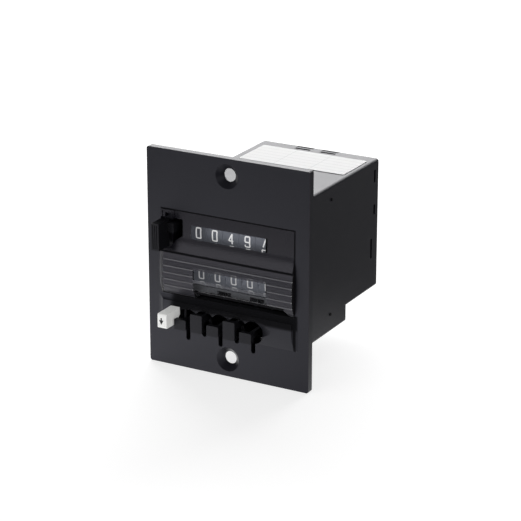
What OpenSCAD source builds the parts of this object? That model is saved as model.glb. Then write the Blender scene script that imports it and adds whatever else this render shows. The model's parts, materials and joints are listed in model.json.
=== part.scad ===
// Panel-mounted pneumatic timer with two rows of number wheels.
// X runs to the right seen from the front, Y runs back into the panel and Z runs up.
// The origin is the centre of the front plate's rear face, which seats on the panel.

/* [Front plate] */
// Width of the front plate
plate_w = 60; // [58:1:64]
// Height of the front plate
plate_h = 75; // [74:1:80]
// Thickness of the front plate
plate_t = 2.5; // [2.3:0.1:3]
// Radius of the plate's corners
plate_corner_r = 0.8; // [0.6:0.1:1.5]
// Distance between the two panel screws, along Z
screw_spacing = 63; // [62:0.5:65]
// Bore of a panel screw hole
screw_hole_d = 4.4; // [4.2:0.1:4.8]
// Outer diameter of a panel screw's countersink
screw_head_d = 8.4; // [8:0.1:9]

/* [Front opening] */
// Width of the recess that holds the lens and the cover
open_w = 50; // [48:0.5:52]
// Top of the recess, above the centre
open_top = 17.4; // [17:0.1:18]
// Height at which the lens meets the cover
open_split = 2.75; // [2.4:0.05:3]
// Bottom of the recess, below the centre
open_drop = 12.2; // [12:0.1:12.8]
// Depth of the recess in the plate
rebate_depth = 1.5; // [1.3:0.1:1.7]
// Width of the ledge that the lens and the cover seat on
ledge_w = 4.6; // [4.4:0.1:5]
// Gap round the lens and the cover
lens_gap = 0.15; // [0.1:0.01:0.2]

/* [Lens and cover] */
// How far the lens swells at its lower edge
lens_bulge = 1.3; // [0.8:0.1:1.6]
// Height at which the lens starts to swell
lens_swell_z = 8.2; // [7.5:0.1:9]
// How far the ribbed cover swells in front of the plate
cover_bulge = 1.65; // [1.2:0.05:2]
// Wall of the ribbed cover
cover_wall = 1.1; // [1:0.05:1.3]
// Height of the cover's fullest point, below the centre
cover_full_drop = 4.2; // [3.8:0.1:4.6]
// Distance between the cover's ribs
rib_pitch = 2.3; // [2.2:0.02:2.4]
// Radius of a rib
rib_r = 0.3; // [0.2:0.02:0.35]
// First rib below the cover's top edge
rib_first_drop = 2.35; // [2.1:0.05:2.5]
// Left end of the smooth window in the ribs, from the centre
rib_window_left = 12.2; // [12:0.2:15]
// Right end of the smooth window in the ribs, from the centre
rib_window_right = 15.4; // [13:0.2:16]

/* [Housing] */
// Outer width of the housing
body_w = 45; // [44.6:0.1:46]
// Length of the housing behind the plate, with its rear cover
body_l = 62; // [61:0.5:66]
// Top of the housing, above the centre
body_top = 23.7; // [23.5:0.1:24.5]
// Bottom of the rear part of the housing, below the centre
body_drop = 22.3; // [22:0.1:23]
// Bottom of the front part of the housing, below the centre
front_drop = 27.8; // [27.6:0.1:28.4]
// Distance from the plate to the step in the housing's bottom
step_y = 38.6; // [37:0.2:41]
// Wall of the housing
wall = 1.2; // [1.1:0.05:1.3]
// Radius of the housing's long edges
body_edge_r = 1; // [0.6:0.1:1.1]
// Thickness of the rear cover
cover_plate_t = 1.2; // [1:0.1:1.6]
// Depth of the rear cover's rim inside the housing
rim_depth = 5; // [4.8:0.1:5.6]
// Gap round the rim
rim_gap = 0.1; // [0.05:0.01:0.15]
// Width of a latch slot, along Y
slot_w = 1.2; // [1:0.05:1.4]

/* [Number wheels] */
// Radius of a number wheel
wheel_r = 7.3; // [7.1:0.05:7.4]
// Width of a number wheel
wheel_w = 6; // [5.8:0.02:6.04]
// Distance between neighbouring wheels
wheel_pitch = 6.15; // [6.1:0.01:6.2]
// Place of the middle wheel, along X
row_x = -2.7; // [-2.9:0.05:-2.5]
// Distance from the plate's rear face to the counting wheels
count_front_y = 4.4; // [4.2:0.1:4.8]
// Height of the counting wheels' shaft
count_z = 8; // [7.8:0.1:8.2]
// Distance from the plate's rear face to the preset wheels
preset_front_y = 6.1; // [6:0.1:6.4]
// Gap between the two rows of wheels
row_gap = 0.4; // [0.3:0.05:0.6]
// Wall of a wheel's rim
rim_t = 0.9; // [0.8:0.05:1]
// Thickness of a wheel's web
web_t = 1; // [0.8:0.1:1.2]
// Radius of a wheel's hub
hub_r = 2.5; // [2.3:0.05:2.55]
// Diameter of the two wheel shafts
shaft_d = 3; // [2.8:0.1:3.2]
// Radial gap of everything that turns or slides
running_gap = 0.05; // [0.03:0.01:0.08]
// Height of a number window
window_h = 5.7; // [5:0.1:5.8]
// Thickness of the mask behind the windows
mask_t = 1; // [0.8:0.1:1.2]

/* [Setting keys] */
// Width of a key's head
key_w = 4.4; // [4:0.1:4.6]
// How far the heads stand in front of the plate
key_reach = 5.4; // [5.2:0.1:6]
// Thickness of a key's head
key_t = 1.6; // [1.3:0.1:1.7]
// Height of the odd keys' heads
key_low_h = 3.6; // [3.2:0.1:4]
// Height of the even keys' heads
key_tall_h = 6.3; // [6:0.1:6.4]
// Bottom of every head, below the centre
key_drop = 22.1; // [22:0.1:22.3]
// Thickness of a key's lever
lever_t = 1.2; // [1:0.1:1.3]
// Width of the slots that the levers run in
key_slot_w = 1.6; // [1.5:0.05:1.8]
// Bottom of the odd keys' slots, below the centre
slot_low_drop = 27.5; // [27.2:0.1:27.6]
// Bottom of the even keys' slots, below the centre
slot_tall_drop = 25.2; // [25:0.1:25.6]
// Radius of the round eye behind each key
eye_r = 3.9; // [3.8:0.05:4]
// Centre of the eyes, below the centre
eye_drop = 20.1; // [20:0.05:20.3]
// Distance from the plate's rear face to the keys' shaft
key_pivot_y = 9.5; // [9.2:0.1:9.8]
// Height of the keys' shaft, below the centre
key_pivot_drop = 21.6; // [21.4:0.1:21.7]
// Diameter of the keys' shaft
key_shaft_d = 2; // [1.8:0.1:2.4]
// Gap between a lever's finger and the preset wheel that it steps
finger_gap = 0.35; // [0.3:0.05:0.5]

/* [Release key and reset key] */
// Width of the white release key
release_w = 3.4; // [3.2:0.05:3.6]
// Height of the white release key
release_h = 4.9; // [4.7:0.1:5]
// Top of the white release key, below the centre
release_drop = 16.1; // [16:0.1:16.3]
// How far the white release key stands in front of the plate
release_reach = 9.3; // [8.5:0.1:10]
// Width of the reset key's head
reset_w = 2.9; // [2.7:0.05:3]
// Height of the reset key's head
reset_h = 9.2; // [8.8:0.1:9.6]
// Centre of the reset key's head
reset_z = 9; // [8.8:0.1:9.4]
// How far the reset key stands in front of the plate
reset_reach = 6.5; // [6:0.1:7]
// Travel of the reset key
reset_travel = 1.4; // [1:0.1:1.5]
// Thickness of the stems of the reset key and the release key
stem_t = 1.6; // [1.5:0.05:1.7]

/* [Chassis] */
// Thickness of the two side frames
frame_t = 0.8; // [0.7:0.05:1]
// Gap between a side frame and the nearest wheel
frame_gap = 0.2; // [0.15:0.01:0.3]
// Space behind the preset wheels
bulk_space = 5.1; // [5:0.1:5.4]
// Thickness of the bulkhead
bulk_t = 2.6; // [2.4:0.1:3]
// Gap between the bulkhead and the housing
bulk_gap = 0.2; // [0.1:0.05:0.3]
// Radius of the snap pips on the bulkhead
pip_r = 0.5; // [0.4:0.05:0.7]
// How far the snap pips show outside the housing
pip_show = 0.3; // [0.2:0.05:0.4]

/* [Air parts] */
// Outer radius of the drive cylinder
cylinder_r = 5; // [4.8:0.1:5.1]
// Bore radius of the drive cylinder
cylinder_bore_r = 4; // [3.8:0.05:4.1]
// Space between the drive cylinder's cap and the manifold
tube_run = 5; // [4.6:0.1:6]
// Height of the drive cylinder's axis
drive_z = 16.5; // [16:0.1:16.9]
// Stroke of the drive piston
drive_stroke = 1.2; // [1:0.05:1.3]
// Radius of the piston rod
rod_r = 1; // [0.9:0.05:1.1]
// Distance between the three ports of the output valve
port_pitch = 8; // [7.8:0.1:8.2]
// Height of the output valve's axis, below the centre
valve_drop = 12; // [11.5:0.1:12.5]
// Stroke of the valve's plunger
valve_stroke = 1.2; // [1:0.05:1.3]
// Bore radius of the M5 ports
port_r = 2.1; // [2.05:0.05:2.2]
// Depth of the M5 ports
port_depth = 6; // [5:0.5:7]
// Thickness of the manifold
manifold_t = 9.8; // [9:0.1:10.4]

/* [Label] */
// Left edge of the label on the housing's top, from the centre
label_left = 19.4; // [18:0.2:20]
// Right edge of the label, from the centre
label_right = 20.7; // [19:0.1:21]
// Gap between the label and the rear edge of the housing
label_rear_gap = 3.8; // [3.4:0.1:5]
// Length of the label
label_l = 17.8; // [16:0.2:18]
// Thickness of the label
label_t = 0.15; // [0.1:0.05:0.3]

/* [Hidden] */
$fn = 64;
eps = 0.01;
plate_col = [0.17, 0.175, 0.18];
inner_col = [0.11, 0.115, 0.12];
steel_col = [0.7, 0.71, 0.72];
wheel_col = [0.29, 0.31, 0.33];

// Inside of the housing
half_w = body_w / 2;
in_x = half_w - wall;
in_top = body_top - wall;
in_low = -(front_drop - wall);
in_rear_low = -(body_drop - wall);
shell_l = body_l - cover_plate_t;
ledge_y = rebate_depth - plate_t;

// Shafts and rows of wheels
function wheel_x(i) = row_x + (i - 3) * wheel_pitch;
shaft_r = shaft_d / 2;
count_y = count_front_y + wheel_r;
preset_y = preset_front_y + wheel_r;
preset_z = count_z - sqrt(pow(2 * wheel_r + row_gap, 2) - pow(preset_y - count_y, 2));
rim_in_r = wheel_r - rim_t;
row_left = wheel_x(1) - wheel_w / 2;
row_right = wheel_x(5) + wheel_w / 2;
frame_left_x = row_left - frame_gap - frame_t;
star_t = 1.2;
star_x = row_right + 0.3;
frame_right_x = star_x + star_t + 0.3;
star_r = 5.2;

// Transfer pinions and the teeth that they run beside
gear_tooth_h = 0.7;
gear_tip_r = rim_in_r - gear_tooth_h;
pinion_r = 1.45;
pinion_root_r = 1;
pinion_off = gear_tip_r - 0.15 - pinion_r;
pinion_journal_r = 0.6;
carrier_t = 0.9;
count_hub_half = 1.8;

// Windows in the mask, set a little high because they are read from above
window_left = row_left + 2.2;
window_right = row_right + 0.2;
count_window_z = count_z + 1.35;
preset_window_z = preset_z + 1.3;
mask_top = open_top + 1.4;
mask_low = -open_drop - 2.1;
mask_notch_low = -11.3;
cut_left = -11.9;
cut_right = 23.3;

// Setting keys
key_pivot_z = -key_pivot_drop;
head_front_y = -plate_t - key_reach;
key_shaft_r = key_shaft_d / 2;
key_hub_r = key_shaft_r + 1.6;
key_range = 16;
pivot_to_wheel = norm([preset_y - key_pivot_y, preset_z - key_pivot_z]);
finger_dir = [preset_y - key_pivot_y, preset_z - key_pivot_z] / pivot_to_wheel;
finger_l = pivot_to_wheel - wheel_r - finger_gap;
spring_y = 4;
spring_pad_z = -23.4;
neck_h = 2.4;
neck_low_drop = key_drop - 0.1;
neck_tall_drop = neck_low_drop - 2.2;
function key_tall(i) = i % 2 == 0;

// Swollen panel round the keys
panel_w = 48.4;
panel_top = -open_drop - 2.1;
panel_full_z = -16.2;
panel_low_z = -23.8;
panel_swell = 1.1;
panel_fall = panel_full_z - panel_low_z;
panel_r = (panel_fall * panel_fall + panel_swell * panel_swell) / (2 * panel_swell);
foot_h = 0.8;
foot_side = 2.4;
foot_top = 2;
hollow_r = 7;
hollow_end_r = 5.7;
hollow_z = -18.8;
hollow_y = -plate_t + 0.1 - hollow_r;

// Release key, and the reset key beside the wheels
stem_right_x = frame_left_x - 0.3;
stem_left_x = stem_right_x - stem_t;
release_right_x = -17.7;
release_left_x = release_right_x - release_w;
release_top = -release_drop;
reset_left_x = -open_w / 2 + 0.2;
reset_front_y = -plate_t - reset_reach;
reset_floor_y = -0.8;
reset_back_y = -reset_travel + reset_floor_y - 0.1;
reset_stem_h = 3.2;
reset_well_low = 3.2;
reset_well_high = 14;
reset_stem_z = 11.2;
reset_stem_end = 12;
reset_tail_r = 0.5;

// Bulkhead and what it carries
bulk_y = preset_y + wheel_r + bulk_space;
bulk_rear = bulk_y + bulk_t;
pip_y = bulk_y + 1.4;
drive_x = star_x + star_t / 2;
valve_x = -6;
valve_z = -valve_drop;
manifold_y = shell_l - manifold_t;
ports = [[drive_x, drive_z], [valve_x - port_pitch, valve_z], [valve_x, valve_z],
    [valve_x + port_pitch, valve_z]];
nipple_r = 0.95;
nipple_bore_r = 0.5;
tube_r = 1.6;
tube_gap = 0.2;
cap_t = 1.6;
cap_end = manifold_y - tube_run;
cylinder_end = cap_end - cap_t;
valve_end = cylinder_end;
piston_y = (bulk_rear + cylinder_end) / 2;
piston_l = 3.4;
anchor_y = count_y + star_r + 3.3;
anchor_r = 1.8;
pin_r = 0.75;
piston_front_y = anchor_y + 0.95;
trip_y = preset_y + wheel_r + 2.3;
trip_z = -20.5;

// Extrudes a drawing of X and Z from y0 to y1
module along_y(y0, y1) {
    translate([0, y1, 0])
        rotate([90, 0, 0])
            linear_extrude(y1 - y0)
                children();
}

// Extrudes a drawing of Y and Z from x0 to x1
module along_x(x0, x1) {
    translate([x0, 0, 0])
        rotate([90, 0, 90])
            linear_extrude(x1 - x0)
                children();
}

// Round bar along X
module bar_x(x0, x1, r, y, z) {
    translate([x0, y, z])
        rotate([0, 90, 0])
            cylinder(h = x1 - x0, r = r);
}

// Round bar along Y
module bar_y(y0, y1, r, x, z) {
    translate([x, y0, z])
        rotate([-90, 0, 0])
            cylinder(h = y1 - y0, r = r);
}

// Box between two corners
module block(low, high) {
    translate(low)
        cube(high - low);
}

// Rectangle between two corners with round corners
module round_rect(low, high, r) {
    translate([low[0] + r, low[1]])
        square([high[0] - low[0] - 2 * r, high[1] - low[1]]);
    translate([low[0], low[1] + r])
        square([high[0] - low[0], high[1] - low[1] - 2 * r]);
    for (x = [low[0] + r, high[0] - r])
        for (z = [low[1] + r, high[1] - r])
            translate([x, z])
                circle(r);
}

// Rectangle between two corners
module plain_rect(low, high) {
    translate(low)
        square(high - low);
}

// Round wire wound along Y as one closed skin
module coil_y(y0, y1, r, wire_r, turns, x, z) {
    sides = 6;
    per_turn = 12;
    rings = round(turns * per_turn);
    points = [for (i = [0:rings])
        let (a = 360 * i / per_turn, y = y0 + wire_r + (y1 - y0 - 2 * wire_r) * i / rings)
        for (k = [0:sides - 1])
            let (b = 360 * k / sides, q = r + wire_r * cos(b))
            [x + q * cos(a), y + wire_r * sin(b), z + q * sin(a)]];
    skin = [for (i = [0:rings - 1])
        for (k = [0:sides - 1])
            let (n = (k + 1) % sides, p = i * sides)
            for (t = [[p + k, p + n, p + n + sides], [p + k, p + n + sides, p + k + sides]]) t];
    near_end = [for (k = [sides - 1:-1:0]) k];
    far_end = [for (k = [0:sides - 1]) rings * sides + k];
    polyhedron(points, concat([near_end], skin, [far_end]), convexity = 6);
}

// Front of the ribbed cover at a height, as a distance in front of its seat
function cover_fall(z) = z > -cover_full_drop
    ? 0.0026 * pow(z + cover_full_drop, 3)
    : 0.0036 * pow(-cover_full_drop - z, 3);
function cover_front(z) = -plate_t - cover_bulge + cover_fall(z);

// Front of the lens at a height
function lens_front(z) = z > lens_swell_z
    ? -plate_t
    : -plate_t - lens_bulge * pow((lens_swell_z - z) / (lens_swell_z - open_split), 1.6);

module front_plate() {
    color(plate_col)
    difference() {
        union() {
            along_y(-plate_t, 0)
                round_rect([-plate_w / 2, -plate_h / 2], [plate_w / 2, plate_h / 2], plate_corner_r);
            key_panel();
        }
        along_y(-plate_t - 1, ledge_y)
            plain_rect([-open_w / 2, -open_drop], [open_w / 2, open_top]);
        along_y(ledge_y - 1, 1)
            plain_rect([-open_w / 2 + ledge_w, -open_drop + 1.2], [open_w / 2 - ledge_w, open_top - 1.2]);
        along_y(ledge_y - 1, reset_floor_y) {
            plain_rect([-open_w / 2, reset_z - reset_h / 2 - 0.2],
                [reset_left_x + reset_w + 0.2, reset_z + reset_h / 2 + 0.2]);
            plain_rect([-open_w / 2, reset_stem_z - reset_stem_h / 2 - 0.3],
                [-in_x + 1, reset_stem_z + reset_stem_h / 2 + 0.3]);
        }
        along_y(ledge_y - 1, 1)
            plain_rect([-in_x, reset_well_low], [-open_w / 2 + ledge_w + eps, reset_well_high]);
        along_y(ledge_y - 1, 1)
            plain_rect([cut_left, -open_drop], [cut_right - 1.1, -open_drop + 1.3]);
        along_y(-plate_t - panel_swell - 1, 1)
            key_openings();
        key_hollow();
        for (s = [-1, 1])
            panel_screw_hole(s * screw_spacing / 2);
    }
}

// Gently swollen panel that the keys come out of
module key_panel() {
    intersection() {
        union() {
            block([-panel_w / 2, -plate_t - panel_swell - 1, panel_low_z], [panel_w / 2, -plate_t + 0.5, panel_top]);
            panel_foot();
        }
        bar_x(-plate_w, plate_w, panel_r, -plate_t - panel_swell + panel_r, panel_full_z);
    }
}

// Hollow foot that joins the panel's top and its two sides to the plate
module panel_foot() {
    side_r = (foot_side * foot_side + foot_h * foot_h) / (2 * foot_h);
    top_r = (foot_top * foot_top + foot_h * foot_h) / (2 * foot_h);
    far = panel_w / 2 + foot_side;
    difference() {
        block([-far, -plate_t - foot_h, panel_low_z], [far, -plate_t + 0.5, panel_top + foot_top]);
        for (side = [-1, 1])
            translate([side * far, -plate_t - side_r + 0.02, panel_low_z - 1])
                cylinder(h = 16, r = side_r);
        bar_x(-plate_w, plate_w, top_r, -plate_t - top_r + 0.02, panel_top + foot_top);
    }
}

// Shallow hollow along the row of eyes, running out softly at both ends
module key_hollow() {
    left = wheel_x(1) + 3.5;
    right = wheel_x(5) + 1;
    bar_x(left - eps, right + eps, hollow_r, hollow_y, hollow_z);
    translate([left, hollow_y, hollow_z])
        rotate([0, -90, 0])
            cylinder(h = 7, r1 = hollow_r, r2 = hollow_end_r);
    translate([right, hollow_y, hollow_z])
        rotate([0, 90, 0])
            cylinder(h = 7, r1 = hollow_r, r2 = hollow_end_r);
}

// Round eyes with a slot below each, and the opening for the release key
module key_openings() {
    for (i = [1:5]) {
        low = -(key_tall(i) ? slot_tall_drop : slot_low_drop);
        translate([wheel_x(i), -eye_drop])
            circle(eye_r);
        plain_rect([wheel_x(i) - key_slot_w / 2, low + key_slot_w / 2], [wheel_x(i) + key_slot_w / 2, -eye_drop]);
        translate([wheel_x(i), low + key_slot_w / 2])
            circle(key_slot_w / 2);
    }
    plain_rect([release_left_x - 0.1, release_top - release_h - 1.2], [release_right_x + 0.2, release_top + 0.2]);
}

// Countersunk hole for a panel screw
module panel_screw_hole(z) {
    depth = (screw_head_d - screw_hole_d) / 2;
    bar_y(-plate_t - 1, 1, screw_hole_d / 2, 0, z);
    translate([0, -plate_t - eps, z])
        rotate([-90, 0, 0])
            cylinder(h = depth, r1 = screw_head_d / 2 + eps, r2 = screw_hole_d / 2);
}

module counter_lens() {
    low = open_split + lens_gap / 2;
    high = open_top - lens_gap;
    left = -open_w / 2 + lens_gap;
    right = open_w / 2 - lens_gap;
    steps = 10;
    swell = [for (i = [0:steps]) let (z = lens_swell_z + (low - lens_swell_z) * i / steps) [lens_front(z), z]];
    color([0.1, 0.1, 0.11, 0.9])
    difference() {
        union() {
            along_x(left, right)
                polygon(concat([[ledge_y, low], [ledge_y, high], [-plate_t, high]], swell));
            reset_frame(left);
        }
        along_y(-plate_t - lens_bulge - 2, 1)
            reset_recess(left);
    }
}

// Cut-out that leaves room for the reset key, with a notch above it
module reset_recess(left) {
    top = reset_z + 5.3;
    inner = -16.6;
    polygon([[left - 1, top], [left + 1.6, top], [left + 1.6, top + 1.5], [left + 4.1, top + 1.5],
        [left + 4.1, top], [inner, top], [inner, reset_z - 0.4], [inner - 2.6, reset_z - 2],
        [inner - 4.3, reset_z - 4.4], [left - 1, open_split - 0.6]]);
}

// Thin raised frame round the notch
module reset_frame(left) {
    base = reset_z + 5.3;
    top = base + 2.7;
    side = left + 5.2;
    bar = 0.5;
    proud = 0.25;
    for (r = [[[left, base], [left + bar, top]], [[side - bar, base], [side, top]], [[left, top - bar], [side, top]]])
        along_y(-plate_t - proud, -plate_t + eps)
            plain_rect(r[0], r[1]);
}

module preset_cover() {
    low = -open_drop + lens_gap;
    high = open_split - lens_gap / 2;
    left = -open_w / 2 + lens_gap;
    right = open_w / 2 - lens_gap;
    steps = 14;
    heights = [for (i = [0:steps]) high + (low - high) * i / steps];
    outer = [for (z = heights) [cover_front(z), z]];
    inner = [for (z = heights) [cover_front(z) + cover_wall, min(max(z, low + cover_wall), high - cover_wall)]];
    color([0.45, 0.46, 0.48, 0.5])
    difference() {
        union() {
            along_x(left, right)
                polygon(concat([[ledge_y, low], [ledge_y, high]], outer));
            cover_ribs(left + 1.6, right - 0.2, high);
        }
        along_x(left + cover_wall, right - cover_wall)
            polygon(concat([[ledge_y + 1, low + cover_wall], [ledge_y + 1, high - cover_wall]], inner));
        along_y(-plate_t - cover_bulge - 1, 1)
            polygon([[cut_left, low - 1], [cut_left, low], [cut_left + 1.9, low + 1.9], [cut_right - 1.9, low + 1.9],
                [cut_right, low], [cut_right, low - 1]]);
    }
}

// Five ribs across the cover, four of them broken by the smooth window
module cover_ribs(left, right, high) {
    for (i = [0:4]) {
        z = high - rib_first_drop - rib_pitch * i;
        y = cover_front(z) + rib_r * 0.1;
        if (i == 0) {
            bar_x(left, right, rib_r, y, z);
        } else {
            bar_x(left, -rib_window_left, rib_r, y, z);
            bar_x(rib_window_right, right, rib_r, y, z);
        }
    }
}

module number_mask() {
    color(inner_col)
    along_y(0, mask_t)
    difference() {
        plain_rect([-in_x + 0.4, mask_low], [in_x - 0.4, mask_top]);
        plain_rect([window_left, count_window_z - window_h / 2], [window_right, count_window_z + window_h / 2]);
        plain_rect([window_left, preset_window_z - window_h / 2], [window_right, preset_window_z + window_h / 2]);
        plain_rect([-in_x - 1, reset_well_low], [row_left - 0.2, reset_well_high]);
        plain_rect([cut_left, mask_low + 0.9], [in_x - 1.2, mask_notch_low + eps]);
        for (i = [1:5])
            mask_notch(wheel_x(i + 1) + (key_tall(i) ? 0 : 0.5), key_tall(i) ? 5.3 : 4.5, key_tall(i) ? 2.2 : 0.9);
    }
}

// Small notch below the lower window
module mask_notch(x, w, h) {
    plain_rect([x - w / 2, mask_notch_low], [x + w / 2, mask_notch_low + h]);
}

// Latch slots near the rear edge: low and high end, on the top or on both sides
top_slots = [[-8.2, -2.4], [1.5, 7.3]];
side_slots = [[16, 20.4, 59.3], [4.5, 8, 59.3], [-11, -3.9, 57.4]];

module housing_shell() {
    color(plate_col)
    difference() {
        union() {
            along_y(0, shell_l)
                round_rect([-half_w, -body_drop], [half_w, body_top], body_edge_r);
            along_y(0, step_y)
                round_rect([-half_w, -front_drop], [half_w, 0], body_edge_r);
        }
        along_y(-1, shell_l + 1)
            plain_rect([-in_x, in_rear_low], [in_x, in_top]);
        along_y(-1, step_y - wall)
            plain_rect([-in_x, in_low], [in_x, 0]);
        latch_slots(0);
        for (s = [-1, 1])
            for (z = [18.9, -21.4])
                bar_x(s * half_w - wall * 2, s * half_w + wall * 2, pip_r + 0.1, pip_y, z);
    }
}

// Slots in the housing, or the noses that fill them when shrunk
module latch_slots(shrink) {
    y = shell_l - 1.5;
    for (s = top_slots)
        block([s[0] + shrink, y - slot_w / 2 + shrink, in_top - 1], [s[1] - shrink, y + slot_w / 2 - shrink, body_top + 1]);
    for (s = side_slots)
        for (m = [0, 1])
            mirror([m, 0, 0])
                block([in_x - 1, s[2] - 59.3 + y - slot_w / 2 + shrink, s[0] + shrink],
                    [half_w + 1, s[2] - 59.3 + y + slot_w / 2 - shrink, s[1] - shrink]);
}

module rear_cover() {
    rim_t = 1.2;
    nose = 0.3;
    color(plate_col)
    difference() {
        union() {
            along_y(shell_l, body_l)
                round_rect([-half_w, -body_drop], [half_w, body_top], body_edge_r);
            along_y(shell_l - rim_depth, shell_l)
                difference() {
                    plain_rect([-in_x + rim_gap, in_rear_low + rim_gap], [in_x - rim_gap, in_top - rim_gap]);
                    plain_rect([-in_x + rim_gap + rim_t, in_rear_low + rim_gap + rim_t],
                        [in_x - rim_gap - rim_t, in_top - rim_gap - rim_t]);
                }
            intersection() {
                latch_slots(0.1);
                along_y(shell_l - rim_depth, shell_l)
                    plain_rect([-in_x - nose, in_rear_low], [in_x + nose, in_top + nose]);
            }
        }
        for (p = ports)
            bar_y(shell_l - rim_depth - 1, body_l + 1, 4.3, p[0], p[1]);
    }
}

module type_label() {
    color([0.95, 0.95, 0.95])
    translate([0, 0, body_top])
        linear_extrude(label_t)
            round_rect([-label_left, shell_l - label_rear_gap - label_l], [label_right, shell_l - label_rear_gap], 1);
}

// Sheet that carries the shafts, with bores of its own size
module side_frame(x, count_bore) {
    along_x(x, x + frame_t)
    difference() {
        union() {
            plain_rect([mask_t, mask_low + 0.8], [bulk_y, open_top - 1.4]);
            plain_rect([mask_t + 0.6, in_low + 0.6], [bulk_y, mask_low + 1]);
            for (z = [13, -8])
                plain_rect([bulk_y - eps, z - 2], [bulk_rear, z + 2]);
        }
        translate([count_y, count_z])
            circle(count_bore);
        translate([preset_y, preset_z])
            circle(shaft_r);
        translate([key_pivot_y, key_pivot_z])
            circle(key_shaft_r);
        translate([trip_y, trip_z])
            circle(pin_r);
        translate([anchor_y, count_z])
            circle(pin_r);
    }
}

module side_frame_left() {
    color(steel_col)
        side_frame(frame_left_x, shaft_r);
}

module side_frame_right() {
    color(steel_col)
        side_frame(frame_right_x, shaft_r);
}

module bulkhead() {
    color(inner_col)
    difference() {
        union() {
            along_y(bulk_y, bulk_rear)
                plain_rect([-in_x + bulk_gap, in_low + bulk_gap], [in_x - bulk_gap, in_top - bulk_gap]);
            for (s = [-1, 1])
                for (z = [18.9, -21.4])
                    bar_x(min(s * (in_x - 1), s * (half_w + pip_show)), max(s * (in_x - 1), s * (half_w + pip_show)),
                        pip_r, pip_y, z);
        }
        for (x = [frame_left_x, frame_right_x])
            for (z = [13, -8])
                block([x, bulk_y - 1, z - 2], [x + frame_t, bulk_rear + 1, z + 2]);
        bar_y(bulk_y - 1, bulk_rear + 1, rod_r + 0.3, drive_x, drive_z);
        bar_y(bulk_y - 1, bulk_rear + 1, rod_r + 0.3, valve_x, valve_z);
        bar_y(bulk_y - 1, bulk_rear + 1, reset_tail_r + running_gap, (stem_left_x + stem_right_x) / 2, reset_stem_z);
        for (p = screw_places)
            bar_y(bulk_y - 1, bulk_rear + 1, 0.8, p[0], p[1]);
    }
}

module counter_shaft() {
    color(steel_col)
        bar_x(frame_left_x, frame_right_x + frame_t, shaft_r, count_y, count_z);
}

module preset_shaft() {
    color(steel_col)
        bar_x(frame_left_x, frame_right_x + frame_t, shaft_r, preset_y, preset_z);
}

module key_shaft() {
    color(steel_col)
        bar_x(stem_left_x - 0.2, frame_right_x + frame_t, key_shaft_r, key_pivot_y, key_pivot_z);
}

// Drum of a number wheel about X, with its bore
module drum(x, hub_left, hub_right) {
    difference() {
        union() {
            difference() {
                bar_x(x - wheel_w / 2, x + wheel_w / 2, wheel_r, 0, 0);
                bar_x(x - wheel_w / 2 - 1, x + wheel_w / 2 + 1, rim_in_r, 0, 0);
            }
            bar_x(x - web_t / 2, x + web_t / 2, rim_in_r + 0.1, 0, 0);
            bar_x(x - hub_left, x + hub_right, hub_r, 0, 0);
        }
        bar_x(x - 20, x + 20, shaft_r + running_gap, 0, 0);
    }
}

// Inward teeth of a counting wheel, from the first to the last of twenty
module inner_teeth(x0, x1, first, last) {
    half = 3.4;
    for (k = [first:last])
        along_x(x0, x1)
            rotate(k * 18 + 9)
                polygon([[gear_tip_r, -half / 9], [rim_in_r + 0.2, -half / 5], [rim_in_r + 0.2, half / 5], [gear_tip_r, half / 9]]);
}

// Counting wheel: twenty teeth inside on the right, two inside on the left
module count_wheel(i) {
    x = wheel_x(i);
    hub_right = i == 5 ? star_x + star_t - x : count_hub_half;
    color(wheel_col)
    translate([0, count_y, count_z]) {
        drum(x, count_hub_half, hub_right);
        if (i < 5)
            inner_teeth(x + web_t / 2 - eps, x + web_t / 2 + 1.3, 0, 19);
        if (i > 1)
            inner_teeth(x - web_t / 2 - 1.3, x - web_t / 2 + eps, 9, 10);
    }
}

module count_wheel_1() {
    count_wheel(1);
}

module count_wheel_2() {
    count_wheel(2);
}

module count_wheel_3() {
    count_wheel(3);
}

module count_wheel_4() {
    count_wheel(4);
}

module count_wheel_5() {
    count_wheel(5);
}

// Ten-pointed wheel that the anchor steps, on the long hub of the units wheel
module star_wheel() {
    points = [for (k = [0:9])
        for (p = [[star_r - 1.3, 0], [star_r, 14], [star_r, 18], [star_r - 1.3, 30]])
            p[0] * [cos(36 * k + p[1]), sin(36 * k + p[1])]];
    color([0.62, 0.5, 0.25])
    translate([0, count_y, count_z])
    difference() {
        along_x(star_x, star_x + star_t)
            polygon(points);
        bar_x(star_x - 1, star_x + star_t + 1, hub_r, 0, 0);
    }
}

// Plates on the counter shaft that carry the transfer pinions
module pinion_carriers() {
    color(steel_col)
    for (i = [1:4])
        translate([wheel_x(i) + wheel_pitch / 2 - carrier_t / 2, count_y, count_z])
            rotate([90, 0, 90])
                linear_extrude(carrier_t)
                    difference() {
                        union() {
                            circle(hub_r);
                            translate([0, -0.9])
                                square([pinion_off, 1.8]);
                            translate([pinion_off, 0])
                                circle(1.3);
                        }
                        circle(shaft_r);
                        translate([pinion_off, 0])
                            circle(pinion_journal_r + running_gap);
                    }
}

// Eight-toothed pinion between two counting wheels, with a thin journal in its middle
module transfer_pinion(i) {
    x = wheel_x(i) + wheel_pitch / 2;
    half = wheel_pitch / 2 - web_t / 2 - 0.2;
    journal = carrier_t / 2 + 0.1;
    points = [for (k = [0:7])
        for (p = [[pinion_root_r, 0], [pinion_r, 9], [pinion_r, 23], [pinion_root_r, 32]])
            p[0] * [cos(45 * k + p[1]), sin(45 * k + p[1])]];
    color([0.85, 0.84, 0.8])
    translate([0, count_y + pinion_off, count_z]) {
        bar_x(x - journal - 0.1, x + journal + 0.1, pinion_journal_r, 0, 0);
        along_x(x - half, x - journal)
            polygon(points);
        along_x(x + journal, x + half)
            polygon(points);
    }
}

module transfer_pinion_1() {
    transfer_pinion(1);
}

module transfer_pinion_2() {
    transfer_pinion(2);
}

module transfer_pinion_3() {
    transfer_pinion(3);
}

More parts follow.
